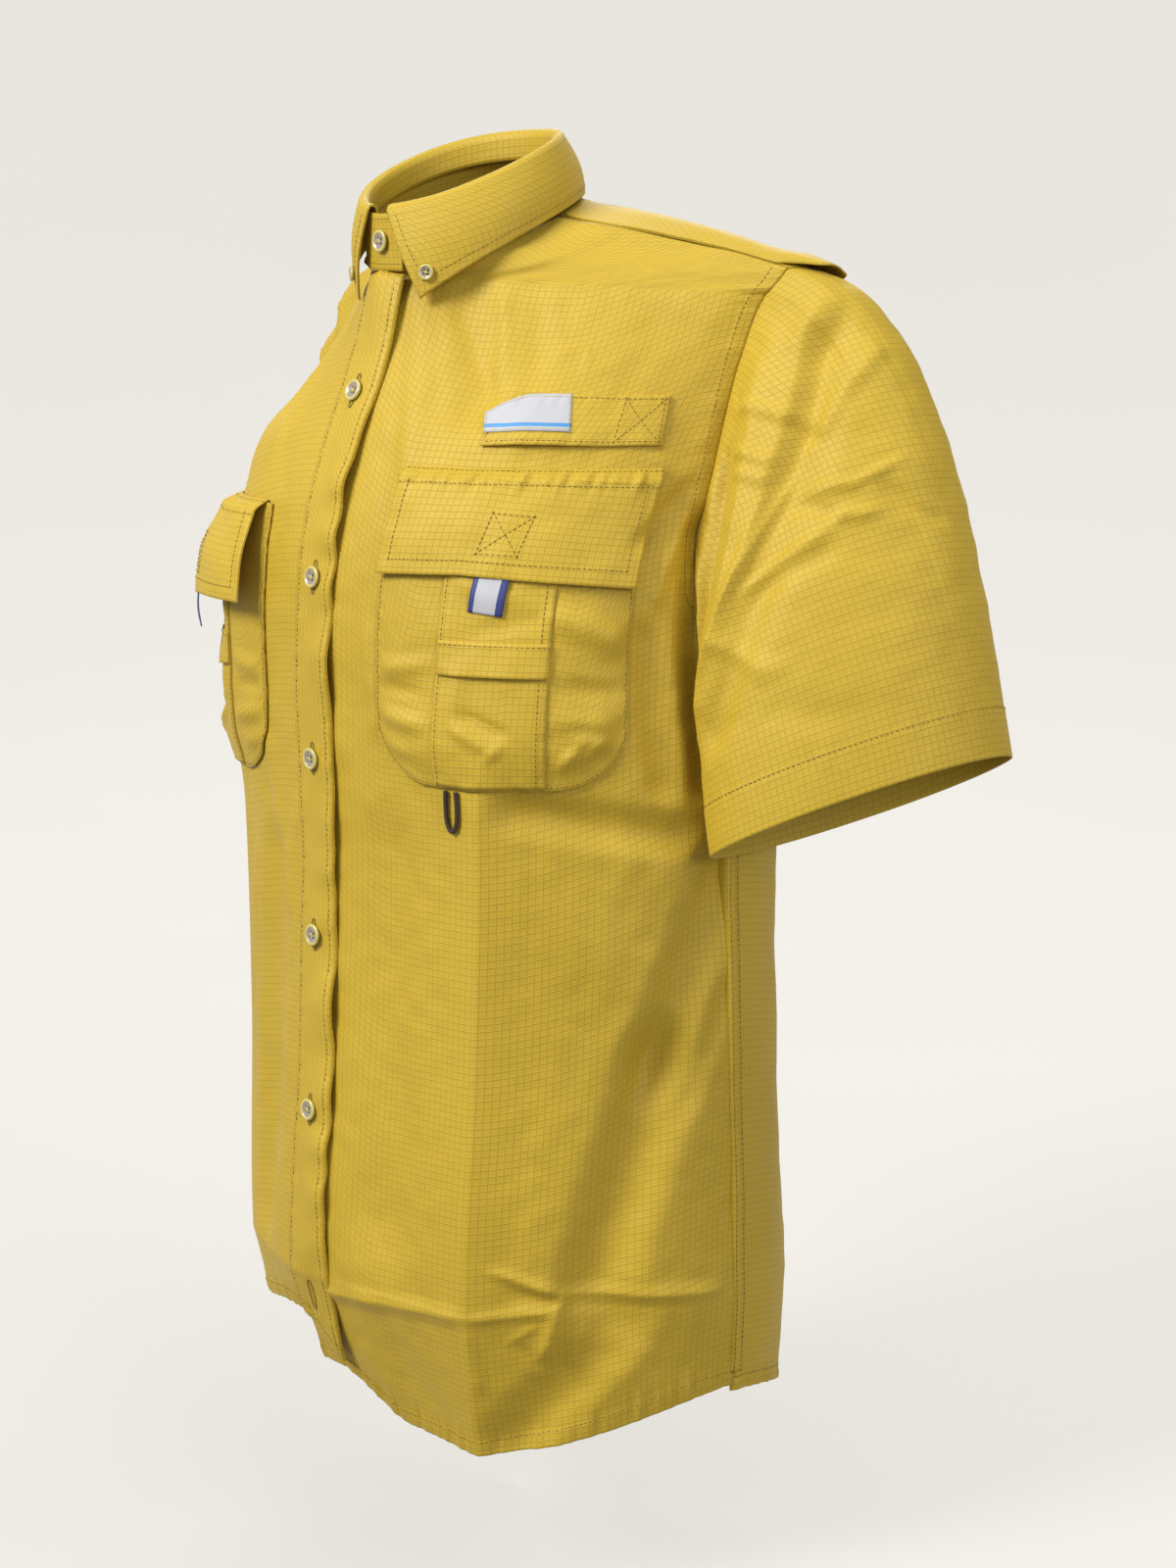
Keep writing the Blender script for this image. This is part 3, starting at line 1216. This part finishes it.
class SHIRT_OT_sleeves(Step, bpy.types.Operator):
    """Adds the sleeves with their turned hems"""

    bl_idname = "shirt.sleeves"
    bl_label = "Sleeves"

    HEM_BAND = 28
    HEM_ROWS = np.array([0, 1.5, 3.5, 7, 11, 15, 19, 22.5, 25.5, 27, 28.2, 29.5, 31.5, 34])
    # The column from which the cloth's grid is measured, at the front
    ANCHOR = 120

    def build(self, sizes, look):
        for name, side in (("left", 1), ("right", -1)):
            sleeve = Sleeve(side)
            # The columns lie closer at the front, where the wrinkles are.
            w = np.concatenate((np.linspace(0, 0.2, 30), np.linspace(0.2, 0.5, 110)[1:],
                                np.linspace(0.5, 1, 68)[1:]))
            length = sleeve.down(w, np.zeros((len(w), 1)))[1][:, None]
            near = self.HEM_ROWS
            # The right sleeve is behind the body, so fewer rows do there.
            rest = mix(near[-1], length, np.linspace(0, 1, 170 if side > 0 else 90)[1:])
            away = np.concatenate((np.broadcast_to(near, (len(w), len(near))), rest), 1)
            t = sleeve.down(w, away)[0]
            t[:, -1] = 0
            s = w[:, None] * SLEEVE_ROUND
            detail = 0.45 * crumple(s, away, 44, 41) + 0.2 * crumple(s, away, 17, 42)
            detail = detail * smooth(np.minimum(s, SLEEVE_ROUND - s), 0, 20) * smooth(away, 20, 60)
            detail = detail + 0.4 * (1 - smooth(away, 27.5, 29)) + 0.25 * pucker(s, away - 28, 9, 8)
            front_and_top = np.abs(w[:, None] - 0.4) < 0.3
            detail = detail + 0.7 * pucker(s, length - away - 7, 9, 9) * front_and_top
            outer = sleeve.place(w, t, 0.0, detail)
            inner = sleeve.place(w, t, -sizes.cloth_wall, detail)
            around = run_length(outer, 0)
            uv = np.stack((around - around[self.ANCHOR], away), -1)
            made = wall(f"sleeve_{name}_cloth", outer[:-1], inner[:-1], uv, ring=True)
            finish_piece(made, look["ripstop_nylon"], "cloth", f"sleeve_{name}")
            w = np.linspace(0, 1, 220)
            level = np.full((len(w), 1), self.HEM_BAND + 0.6)
            gather = 0.25 * pucker(w[:, None] * SLEEVE_ROUND, 0, 9, 8)
            line = sleeve.place(w, sleeve.down(w, level)[0], 0.55, gather)
            sew(f"sleeve_{name}_stitches", [line[:, 0]])


def neck_ring(angle, radius, y):
    """The neck seam: angle is in degrees from the back of the neck."""
    a = np.radians(angle)
    share = ((1 - np.cos(a)) / 2) ** 1.3
    level = NECK["back"] - NECK["drop"] * share
    return np.stack(np.broadcast_arrays(radius * np.sin(a), y + radius * np.cos(a), level), -1)


def stand_point(angle, v, off):
    lap = smooth(-angle, 140, 176) * 2.4
    radius = NECK["seam"] - 2.2 + lap + off - STAND["lean"] * v
    size = np.abs(angle)
    p = neck_ring(np.minimum(size, 180), radius, NECK["y"] - STAND["forward"] * v)
    sign = np.where(angle == 0, 1, np.sign(angle))
    p[..., 0] = (p[..., 0] - np.maximum(0, size - 180) * 1.13) * sign
    p[..., 2] += STAND["height"] * v + 1.2
    return p


def leaf_point(u, v, off):
    """The leaf falls from its fold at v 0 to its edge at v 1, and is rolled in below 0."""
    angle = mix(-LEAF["start"], LEAF["start"], u)
    share = np.abs(u - 0.5) * 2
    over = 2.6 * smooth(angle, 140, 162)
    fold = stand_point(angle, 1.0, LEAF["fold"] + over + off)
    fold[..., 2] += 1.5
    reach = np.where(angle < 0, LEAF["tip_right"], LEAF["tip_left"])
    low = angle * (reach / LEAF["start"])
    # The right tip lies closer to the band than the left one.
    radius = NECK["seam"] + LEAF["flare"] + 1.5 * smooth(share, 0.75, 1) + off
    radius = radius - 2.8 * smooth(-angle, 130, 168)
    edge = neck_ring(np.abs(low), radius, NECK["y"] - 1)
    edge[..., 0] *= np.where(low == 0, 1, np.sign(low))
    edge[..., 2] += 4.5 - (LEAF["tip_drop"] + 5) * share**4
    hang = np.maximum(v, 0)[..., None]
    p = mix(fold, edge, hang)
    outward = unit(p - np.array([0, NECK["y"], 0]))
    outward[..., 2] = 0
    outward = unit(outward)
    bow = np.sin(np.pi * hang) * 3
    p = p + outward * bow
    # Above the fold the cloth rolls over the stand's top in a half circle and goes down inside.
    roll = np.maximum(-v, 0)
    turn = np.minimum(roll / LEAF["roll"], 1) * np.pi
    radius = LEAF["roll_radius"]
    inward = radius * (1 - np.cos(turn)) * (roll > 0)
    rise = radius * np.sin(turn) * (roll > 0)
    drop = np.maximum(roll - LEAF["roll"], 0) * LEAF["inside"]
    p = p - outward * (inward + 2 * off * (turn / np.pi))[..., None]
    p[..., 2] += rise - drop + off * np.sin(turn)
    return p


class SHIRT_OT_collar(Step, bpy.types.Operator):
    """Adds the collar stand and the folded collar leaf"""

    bl_idname = "shirt.collar"
    bl_label = "Collar"

    def build(self, sizes, look):
        made = shell("collar_stand_cloth", np.linspace(-196, 194, 241), np.linspace(0, 1, 17),
                     STAND["wall"], stand_point)
        finish_piece(made, look["ripstop_nylon"], "cloth", "collar_stand")

        def leaf(u, v, lift):
            gather = 0.12 * pucker(u * 400, (v - 0.85) * 45, 6, 4) * (v > 0)
            return leaf_point(u, v, lift + LEAF["wall"] + gather)

        made = shell("collar_leaf_cloth", np.linspace(0, 1, 221), np.linspace(-0.3, 1, 40),
                     LEAF["wall"], leaf)
        finish_piece(made, look["ripstop_nylon"], "cloth", "collar_leaf")
        off = LEAF["wall"] + STITCH_LIFT
        u = np.linspace(0.016, 0.984, 260)
        lines = [leaf_point(u, np.full_like(u, 0.86), off)]
        v = np.linspace(0.08, 0.86, 20)
        for end in (0.016, 0.984):
            lines.append(leaf_point(np.full_like(v, end), v, off))
        angle = np.linspace(-192, -168, 20)
        lines.append(stand_point(angle, np.full_like(angle, 0.12), 0.1))
        lines.append(stand_point(angle, np.full_like(angle, 0.9), 0.1))
        sew("collar_stitches", lines)


def pocket_outline(u):
    """How far the round lower corners rise at u across the pocket."""
    width = POCKET["far"] - POCKET["near"]
    edge = np.minimum(u, 1 - u) * width
    inside = np.maximum(0, POCKET["corner"] - edge)
    return POCKET["corner"] - np.sqrt(POCKET["corner"] ** 2 - inside**2)


def pocket_top(s, h, drop):
    """Height of the pocket bag's outer face above the front."""
    u = (s - POCKET["near"]) / (POCKET["far"] - POCKET["near"])
    low = POCKET["bottom"] + pocket_outline(np.clip(u, 0, 1))
    edge = np.minimum(np.minimum(s - POCKET["near"], POCKET["far"] - s), (h - drop - low) * 0.9)
    full = smooth(edge, 0, 22)
    open_part = 1 - smooth(h - drop, -250, -205)
    belly = (1.2 + 1.6 * open_part) * full
    folds = 1.7 * fold_height(POCKET_FOLDS, s, h - drop, 1.2) * smooth(edge, 0, 12)
    gather = 0.35 * pucker(s + h, edge - 2, 6, 1)
    return LAYER + POCKET["wall"] + belly + folds + gather


def strip_place(u, v, drop):
    """s and h on a pocket's centre strip, which leans inwards towards its lower end."""
    lean = STRIP["slant"] * (1 - v)
    s = mix(STRIP["near"], STRIP["far"] - lean, u) - lean * (1 - u)
    return s, mix(POCKET["bottom"] + 1.5, POCKET["top"] - 2, v) + drop


class SHIRT_OT_pockets(Step, bpy.types.Operator):
    """Adds the two pocket bags with their centre strips and cross bands"""

    bl_idname = "shirt.pockets"
    bl_label = "Pockets"

    def build(self, sizes, look):
        for side, drop in (("left", 0), ("right", RIGHT_DROP)):
            panel = PANELS[side]

            def bag(u, v):
                s = mix(POCKET["near"], POCKET["far"], u)
                h = mix(POCKET["bottom"] + pocket_outline(u), POCKET["top"], v) + drop
                return s, h, pocket_top(s, h, drop) - POCKET["wall"]

            made = patch(f"pocket_{side}_cloth", panel, 78, 84, POCKET["wall"], bag)
            finish_piece(made, look["ripstop_nylon"], "cloth", f"pocket_{side}")

            def strip_top(s, h):
                edge = np.minimum(s - STRIP["near"], STRIP["far"] - s)
                low = h - drop - POCKET["bottom"] - 1.5
                wrinkle = 1.6 * fold_height(STRIP_FOLDS, s, h - drop, 1.0) * smooth(low, 0, 10)
                return (pocket_top(s, h, drop) + 1.1 + 0.5 * smooth(edge, 0, 6)
                        + wrinkle * smooth(edge, 0, 10) + 0.2 * pucker(h, edge - 3, 4, 2))

            def strip(u, v):
                s, h = strip_place(u, v, drop)
                return s, h, strip_top(s, h) - STRIP["wall"]

            made = patch(f"pocket_strip_{side}_cloth", panel, 36, 78, STRIP["wall"], strip)
            finish_piece(made, look["ripstop_nylon"], "cloth", f"pocket_strip_{side}")

            def band(u, v):
                s = mix(STRIP["near"] - 0.6, STRIP["far"] - 1.5, u)
                h = mix(BAND["bottom"], BAND["top"], v) + drop - 1.5 * u
                free = (1 - v) * np.sin(np.pi * np.clip(u, 0, 1)) ** 0.5
                return s, h, strip_top(s, h) + STITCH_LIFT + 2.2 * free

            made = patch(f"pocket_band_{side}_cloth", panel, 32, 12, BAND["wall"], band)
            finish_piece(made, look["ripstop_nylon"], "cloth", f"pocket_band_{side}")
            self.stitch(side, panel, drop, strip_top)

    def stitch(self, side, panel, drop, strip_top):
        u = np.linspace(0.014, 0.986, 150)
        s = mix(POCKET["near"], POCKET["far"], u)
        low = POCKET["bottom"] + pocket_outline(u) + 2.2 + drop
        lines = [panel.place(s, low, pocket_top(s, low, drop) + STITCH_LIFT)]
        for inset in (POCKET["near"] + 2.2, POCKET["far"] - 2.2):
            h = np.linspace(POCKET["bottom"] + 30, POCKET["top"], 70) + drop
            at = np.full_like(h, inset)
            lines.append(panel.place(at, h, pocket_top(at, h, drop) + STITCH_LIFT))
        v = np.linspace(0.01, 1, 90)
        for end, inset in ((0, 2.4), (1, -5.0)):
            s, h = strip_place(end, v, drop)
            s = s + inset
            lines.append(panel.place(s, h, strip_top(s, h) + STITCH_LIFT))
        s = np.linspace(STRIP["near"] + 1, STRIP["far"] - 2, 34)
        h = BAND["top"] - 2.2 + drop - 1.5 * (s - STRIP["near"]) / 65
        lines.append(panel.place(s, h, strip_top(s, h) + BAND["wall"] + 0.5))
        sew(f"pocket_{side}_stitches", lines)


FLAPS = (("left", 0, 0), ("right", RIGHT_DROP * 2, 17))


def flap_shape(u, v, drop, stand):
    """s, h and the lower face of a pocket flap, which stands off towards its lower edge."""
    edge = np.where(u < 0.35, mix(FLAP["near_edge"], FLAP["mid_edge"], u / 0.35),
                    mix(FLAP["mid_edge"], FLAP["far_edge"], (u - 0.35) / 0.65))
    h = mix(edge, FLAP["top"], v) + drop
    splay = 5 * (1 - v)
    down = 1 - smooth(h - drop, FLAP["seam"] - 1, FLAP["top"])
    lift = stand * np.sin(np.pi / 2 * (1 - v)) * mix(0.7, 1, u)
    band = h - drop - FLAP["seam"]
    across = u * FLAP["wide"]
    gather = 1.3 * pucker(across, band - 4, 4.5, 1) + 0.3 * pucker(across, band + 4, 5, 2)
    gather = gather + 1.5 * np.sin(np.pi * np.clip(band / 10, 0, 1)) ** 0.6
    soft = 0.5 * crumple(across, v * FLAP["high"], 38, 51) * (1 - smooth(band, -8, 0))
    off = mix(LAYER, LAYER * 4 + 3.4, down) + lift + gather + soft
    return mix(FLAP["near"] - splay, FLAP["far"] - splay * 0.6, u), h, off


class SHIRT_OT_flaps(Step, bpy.types.Operator):
    """Adds the two pocket flaps"""

    bl_idname = "shirt.flaps"
    bl_label = "Pocket flaps"

    def build(self, sizes, look):
        for side, drop, stand in FLAPS:
            panel = PANELS[side]
            rows = np.concatenate((np.linspace(0, 0.76, 30), np.linspace(0.76, 1, 17)[1:]))

            def flap(u, v):
                return flap_shape(u, v, drop, stand)

            made = patch(f"pocket_flap_{side}_cloth", panel, 84, rows, FLAP["wall"], flap)
            finish_piece(made, look["ripstop_nylon"], "cloth", f"pocket_flap_{side}")

            def line(u, v):
                s, h, off = flap(u, v)
                return panel.place(s, h, off + FLAP["wall"] + 0.25)

            u = np.linspace(0.05, 0.95, 90)
            v = np.linspace(0.14, 0.84, 40)
            lines = [line(u, np.full_like(u, 0.13)), line(np.full_like(v, 0.05), v),
                     line(np.full_like(v, 0.95), v)]
            u = np.linspace(0.01, 0.99, 100)
            lines += [line(u, np.full_like(u, 0.83)), line(u, np.full_like(u, 0.975))]
            lines += stitched(line, ((0.42, 0.58), (0.57, 0.56), (0.55, 0.2), (0.4, 0.2),
                                     (0.42, 0.58), (0.55, 0.2), (0.57, 0.56), (0.4, 0.2)))
            sew(f"pocket_flap_{side}_stitches", lines)


def stitched(line, corners):
    """Straight rows of stitches from corner to corner, each read at 14 places."""
    t = np.linspace(0, 1, 14)
    return [line(mix(u0, u1, t), mix(v0, v1, t))
            for (u0, v0), (u1, v1) in zip(corners[:-1], corners[1:])]


def strap_shape(u, v):
    near = STRAP["near"] - 3 * (1 - v) + 5 * v
    loose = 1.8 * np.sin(np.pi * np.clip(u / 0.62, 0, 1)) * (1 - v)
    gather = 0.4 * pucker(u * 100, v * 28 - 3, 5, 7) + 0.3 * pucker(u * 100, v * 28 - 25, 5, 8)
    far = STRAP["far"] + 4 * (1 - v) - 5 * v
    return mix(near, far, u), mix(STRAP["bottom"], STRAP["top"], v), LAYER + loose + gather


class SHIRT_OT_strap(Step, bpy.types.Operator):
    """Adds the strap above the left pocket"""

    bl_idname = "shirt.strap"
    bl_label = "Strap"

    def build(self, sizes, look):
        panel = PANELS["left"]
        made = patch("strap_cloth", panel, 56, 18, STRAP["wall"], strap_shape)
        finish_piece(made, look["ripstop_nylon"], "cloth", "strap")

        def line(u, v):
            s, h, off = strap_shape(u, v)
            return panel.place(s, h, off + STRAP["wall"] + STITCH_LIFT)

        u = np.linspace(0.02, 0.98, 60)
        lines = [line(u, np.full_like(u, 0.08)), line(u, np.full_like(u, 0.92))]
        lines += stitched(line, ((0.72, 0.92), (0.72, 0.08), (0.97, 0.92), (0.97, 0.08),
                                 (0.72, 0.92)))
        sew("strap_stitches", lines)


class SHIRT_OT_labels(Step, bpy.types.Operator):
    """Adds the sewn label and the two folded tab labels, both without any words"""

    bl_idname = "shirt.labels"
    bl_label = "Labels"

    def build(self, sizes, look):
        panel = PANELS["left"]

        def label(u, v):
            # The left end slants out to a low corner, from which the upper edge rises to a peak.
            s = mix(LABEL["near"] - 6 * v, LABEL["far"] - 9 * v, u)
            rise = mix(LABEL["left_top"], LABEL["top"], np.minimum(u / LABEL["peak"], 1))
            h = mix(LABEL["bottom"], rise, v)
            under = strap_shape((s - STRAP["near"]) / (STRAP["far"] - STRAP["near"]),
                                (h - STRAP["bottom"]) / (STRAP["top"] - STRAP["bottom"]))[2]
            return s, h, under + 1.3

        made = patch("label_cloth", panel, 30, 14, LABEL["wall"], label)
        finish_piece(made, look["woven_label"], "label", "label")

        def line(u, v):
            s, h, off = label(u, v)
            return panel.place(s, h, off + LABEL["wall"] + 0.1)

        u = np.linspace(0.03, 0.97, 30)
        v = np.linspace(0.08, 0.92, 12)
        lines = [line(u, np.full_like(u, 0.07)), line(u, np.full_like(u, 0.93)),
                 line(np.full_like(v, 0.025), v), line(np.full_like(v, 0.975), v)]
        sew("label_stitches", lines, "pale_thread", 1.6, 1.2)
        for side, drop, stand in FLAPS:
            def tab(u, v):
                s = mix(TAB["near"], TAB["far"], u) - 2 * (1 - v)
                h = TAB["bottom"] + TAB["height"] * v + drop - 2.5 * u
                curl = 1.5 * np.sin(np.pi * v) * (0.5 + 0.5 * u)
                return s, h, LAYER * 3 + 2.3 + stand * 0.83 + curl + 1.2

            made = patch(f"tab_{side}_cloth", PANELS[side], 12, 14, TAB["wall"], tab)
            finish_piece(made, look["woven_tab"], "label", f"tab_{side}")


BUTTON_PROFILE = [
    (0, 0), (0.8, 0), (0.93, 0.3), (1, 1.0), (0.99, 1.6), (0.94, 2.1), (0.86, 2.3), (0.77, 2.25),
    (0.7, 1.9), (0.62, 1.55), (0.5, 1.42), (0.25, 1.4), (0, 1.4),
]


def lathe(profile, radius, segments):
    """A closed turned mesh: profile holds shares of the radius and heights."""
    made = bmesh.new()
    rings = []
    for share, height in profile:
        if share == 0:
            rings.append([made.verts.new((0, 0, height))])
            continue
        turns = [2 * math.pi * k / segments for k in range(segments)]
        reach = share * radius
        rings.append([made.verts.new((reach * math.cos(a), reach * math.sin(a), height))
                      for a in turns])
    for one, two in zip(rings[:-1], rings[1:]):
        for k in range(segments):
            n = (k + 1) % segments
            corners = [one[k % len(one)], one[n % len(one)], two[n % len(two)], two[k % len(two)]]
            made.faces.new(list(dict.fromkeys(corners)))
    bmesh.ops.recalc_face_normals(made, faces=made.faces)
    return made


def button_mesh(name, diameter, look):
    """A turned four-hole button, its rim and dish in two colours."""
    body = lathe(BUTTON_PROFILE, diameter / 2, 48)
    mesh = bpy.data.meshes.new(name)
    body.to_mesh(mesh)
    body.free()
    cutters = bmesh.new()
    reach = diameter * 0.105
    for x, y in ((1, 1), (1, -1), (-1, 1), (-1, -1)):
        bmesh.ops.create_cone(cutters, cap_ends=True, segments=14, radius1=0.85, radius2=0.85,
                              depth=6, matrix=Matrix.Translation((x * reach, y * reach, 1)))
    tool_mesh = bpy.data.meshes.new(name + "_holes")
    cutters.to_mesh(tool_mesh)
    cutters.free()
    blank, tool = link(name, mesh), link(name + "_holes", tool_mesh)
    cut = blank.modifiers.new("holes", "BOOLEAN")
    cut.operation, cut.solver, cut.object = "DIFFERENCE", "EXACT", tool
    graph = bpy.context.evaluated_depsgraph_get()
    graph.update()
    done = bpy.data.meshes.new_from_object(blank.evaluated_get(graph))
    bpy.data.objects.remove(blank)
    bpy.data.objects.remove(tool)
    done.materials.clear()
    done.materials.append(look["cast_polyester_rim"])
    done.materials.append(look["cast_polyester_dish"])
    for face in done.polygons:
        face.use_smooth = True
        in_dish = face.center.xy.length < diameter / 2 * 0.72 and face.center.z > 0.4
        face.material_index = int(in_dish)
    return done


def button_thread(name, diameter):
    """The sewing thread over the holes: three strands each way, crossed."""
    made = bmesh.new()
    reach = diameter * 0.105
    for turn in (45, -45):
        for k in (-1, 0, 1):
            spot = Matrix.Rotation(math.radians(turn), 4, "Z")
            spot = spot @ Matrix.Translation((0, k * 0.42, 1.62))
            size = Matrix.Diagonal((reach * 2.75, 0.45, 0.5, 1))
            bmesh.ops.create_uvsphere(made, u_segments=10, v_segments=6, radius=0.5,
                                      matrix=spot @ size)
    mesh = bpy.data.meshes.new(name)
    made.to_mesh(mesh)
    made.free()
    mesh.shade_smooth()
    return mesh


def upright(foot, top, high):
    """The place of a button whose face looks from foot to top, its holes square to high."""
    z = unit(top - foot)
    x = unit(np.cross(high, z))
    y = np.cross(z, x)
    rows = np.stack((x, y, z, foot), -1) * MM
    return Matrix([*rows.tolist(), (0, 0, 0, 1)])


class SHIRT_OT_buttons(Step, bpy.types.Operator):
    """Adds the buttons, their thread and the buttonholes behind them"""

    bl_idname = "shirt.buttons"
    bl_label = "Buttons"

    def build(self, sizes, look):
        panel = PANELS["right"]
        big = button_mesh("button_blank", sizes.button, look)
        small = button_mesh("button_tip_blank", sizes.tip_button, look)
        places = []
        for k in range(BUTTON_COUNT):
            level = BUTTON_TOP - k * BUTTON_PITCH
            places.append((f"button_{k + 1}", big, sizes.button, lambda off, level=level:
                           panel.place(0.0, level, off), 2.4))
        places.append(("button_neck", big, sizes.button,
                       lambda off: stand_point(np.array(-179.5), 0.52, off), 0.6))
        for name, u in (("button_tip_left", 0.975), ("button_tip_right", 0.025)):
            places.append((name, small, sizes.tip_button,
                           lambda off, u=u: leaf_point(np.array(u), np.array(0.8), off),
                           LEAF["wall"] + 0.3))
        for name, blank, diameter, place, lift in places:
            foot, top = place(lift), place(lift + 4.0)
            turn = upright(foot, top, np.array([0.12, 0, 1.0]))
            mesh = blank.copy()
            mesh.name = name + "_moulded"
            mesh.transform(turn)
            made = link(name + "_moulded", mesh)
            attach(made, "root")
            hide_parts(name)
            thread = button_thread(name + "_thread", diameter)
            thread.transform(turn)
            made = link(name + "_thread", thread)
            finish_piece(made, look["pale_thread"], "cloth")
        bpy.data.meshes.remove(big)
        bpy.data.meshes.remove(small)
        self.holes(panel)

    def holes(self, panel):
        """Buttonholes: dense short stitches in a narrow upright loop."""
        levels = [BUTTON_TOP - k * BUTTON_PITCH for k in range(BUTTON_COUNT)] + [HOLE["last"]]
        lines = []
        for level in levels:
            a = np.linspace(0, 2 * np.pi, 60)
            s = HOLE["wide"] * np.sign(np.cos(a)) * np.abs(np.cos(a)) ** 0.4
            lines.append(panel.place(s, level + HOLE["half"] * np.sin(a), BAND_FACE + STITCH_LIFT))
            outer = level + (HOLE["half"] + 0.5) * np.sin(a)
            lines.append(panel.place(s * 1.7, outer, BAND_FACE + 0.1))
        sew("buttonhole_stitches", lines, "polyester_thread", 0.75, 0.9)


class SHIRT_OT_stage(bpy.types.Operator):
    """Adds the pale floor, the background and the soft studio lights"""

    bl_idname = "shirt.stage"
    bl_label = "Stage and lights"

    GLOW = 0.84
    AMBIENT = 0.34
    # The lamps look at the middle of the shirt.
    MIDDLE = Vector((0, 0, -0.35))
    # Name, azimuth and height in degrees, distance, size, power
    LIGHTS = (
        ("key", -8, 36, 4.2, 1.8, 200),
        ("fill", 84, 20, 4.2, 2.2, 66),
        ("top", 70, 80, 3.6, 1.6, 42),
        ("rear", 225, 35, 4.2, 2.2, 55),
    )

    def execute(self, context):
        scene = context.scene
        sizes, colours = scene.shirt_sizes, scene.shirt_colours
        # The floor curves up into the background, so that no horizon shows from any side.
        bend = np.linspace(0, np.pi / 2, 13)
        reach = np.concatenate(([0.0005], 3.2 + 2.4 * np.sin(bend), [5.6]))
        rise = np.concatenate(([0], 2.4 - 2.4 * np.cos(bend), [6.0])) + sizes.floor
        turn = np.linspace(0, 2 * np.pi, 97)
        outer = np.stack(
            (np.outer(np.cos(turn), reach), np.outer(np.sin(turn), reach),
             np.broadcast_to(rise, (97, len(rise)))), -1) / MM
        below = outer - np.array([0, 0, 20.0])
        floor = wall("floor", outer[:-1], below[:-1], outer[..., :2] * 0, ring=True)
        # Seamless studio paper: matt, faintly mottled.
        floor.data.materials.append(plain_material(
            "matt_paper", tuple(colours.floor_shade), 0.9, 3, 0.0002,
            {"Emission Color": tuple(colours.floor), "Emission Strength": self.GLOW}))
        floor.visible_diffuse = False
        world = bpy.data.worlds.new("studio")
        world.use_nodes = True
        world.node_tree.nodes.clear()
        shade = add_node(world.node_tree, "ShaderNodeBackground", None,
                         {"Color": tuple(colours.floor), "Strength": self.AMBIENT})
        add_node(world.node_tree, "ShaderNodeOutputWorld", None,
                 {"Surface": shade.outputs["Background"]})
        scene.world = world
        scene.view_settings.view_transform = "Standard"
        for name, azimuth, height, distance, size, power in self.LIGHTS:
            data = bpy.data.lights.new(name, "AREA")
            data.shape, data.size, data.energy = "DISK", size, power
            a, e = math.radians(azimuth), math.radians(height)
            away = Vector((math.sin(a) * math.cos(e), -math.cos(a) * math.cos(e), math.sin(e)))
            lamp = bpy.data.objects.new(name, data)
            lamp.location = away * distance + self.MIDDLE
            lamp.rotation_euler = away.to_track_quat("Z", "Y").to_euler()
            scene.collection.objects.link(lamp)
        return {"FINISHED"}


STEPS = (
    SHIRT_OT_camera, SHIRT_OT_loop, SHIRT_OT_fronts, SHIRT_OT_band, SHIRT_OT_back, SHIRT_OT_cape,
    SHIRT_OT_sleeves, SHIRT_OT_collar, SHIRT_OT_pockets, SHIRT_OT_flaps, SHIRT_OT_strap,
    SHIRT_OT_labels, SHIRT_OT_buttons, SHIRT_OT_stage,
)


class SHIRT_PT_panel(bpy.types.Panel):
    """Lists the steps of the shirt in the sidebar"""

    bl_label = "Shirt"
    bl_space_type = "VIEW_3D"
    bl_region_type = "UI"
    bl_category = "Shirt"

    def draw(self, context):
        for group in (context.scene.shirt_sizes, context.scene.shirt_colours):
            for name in group.__annotations__:
                self.layout.prop(group, name)
        for step in STEPS:
            self.layout.operator(step.bl_idname)


CLASSES = (ShirtSizes, ShirtColours, *STEPS, SHIRT_PT_panel)


def register():
    for made in CLASSES:
        bpy.utils.register_class(made)
    bpy.types.Scene.shirt_sizes = PointerProperty(type=ShirtSizes)
    bpy.types.Scene.shirt_colours = PointerProperty(type=ShirtColours)


def unregister():
    del bpy.types.Scene.shirt_colours
    del bpy.types.Scene.shirt_sizes
    for made in reversed(CLASSES):
        bpy.utils.unregister_class(made)


def main():
    register()
    for step in STEPS:
        group, name = step.bl_idname.split(".")
        getattr(getattr(bpy.ops, group), name)()


if __name__ == "__main__":
    main()
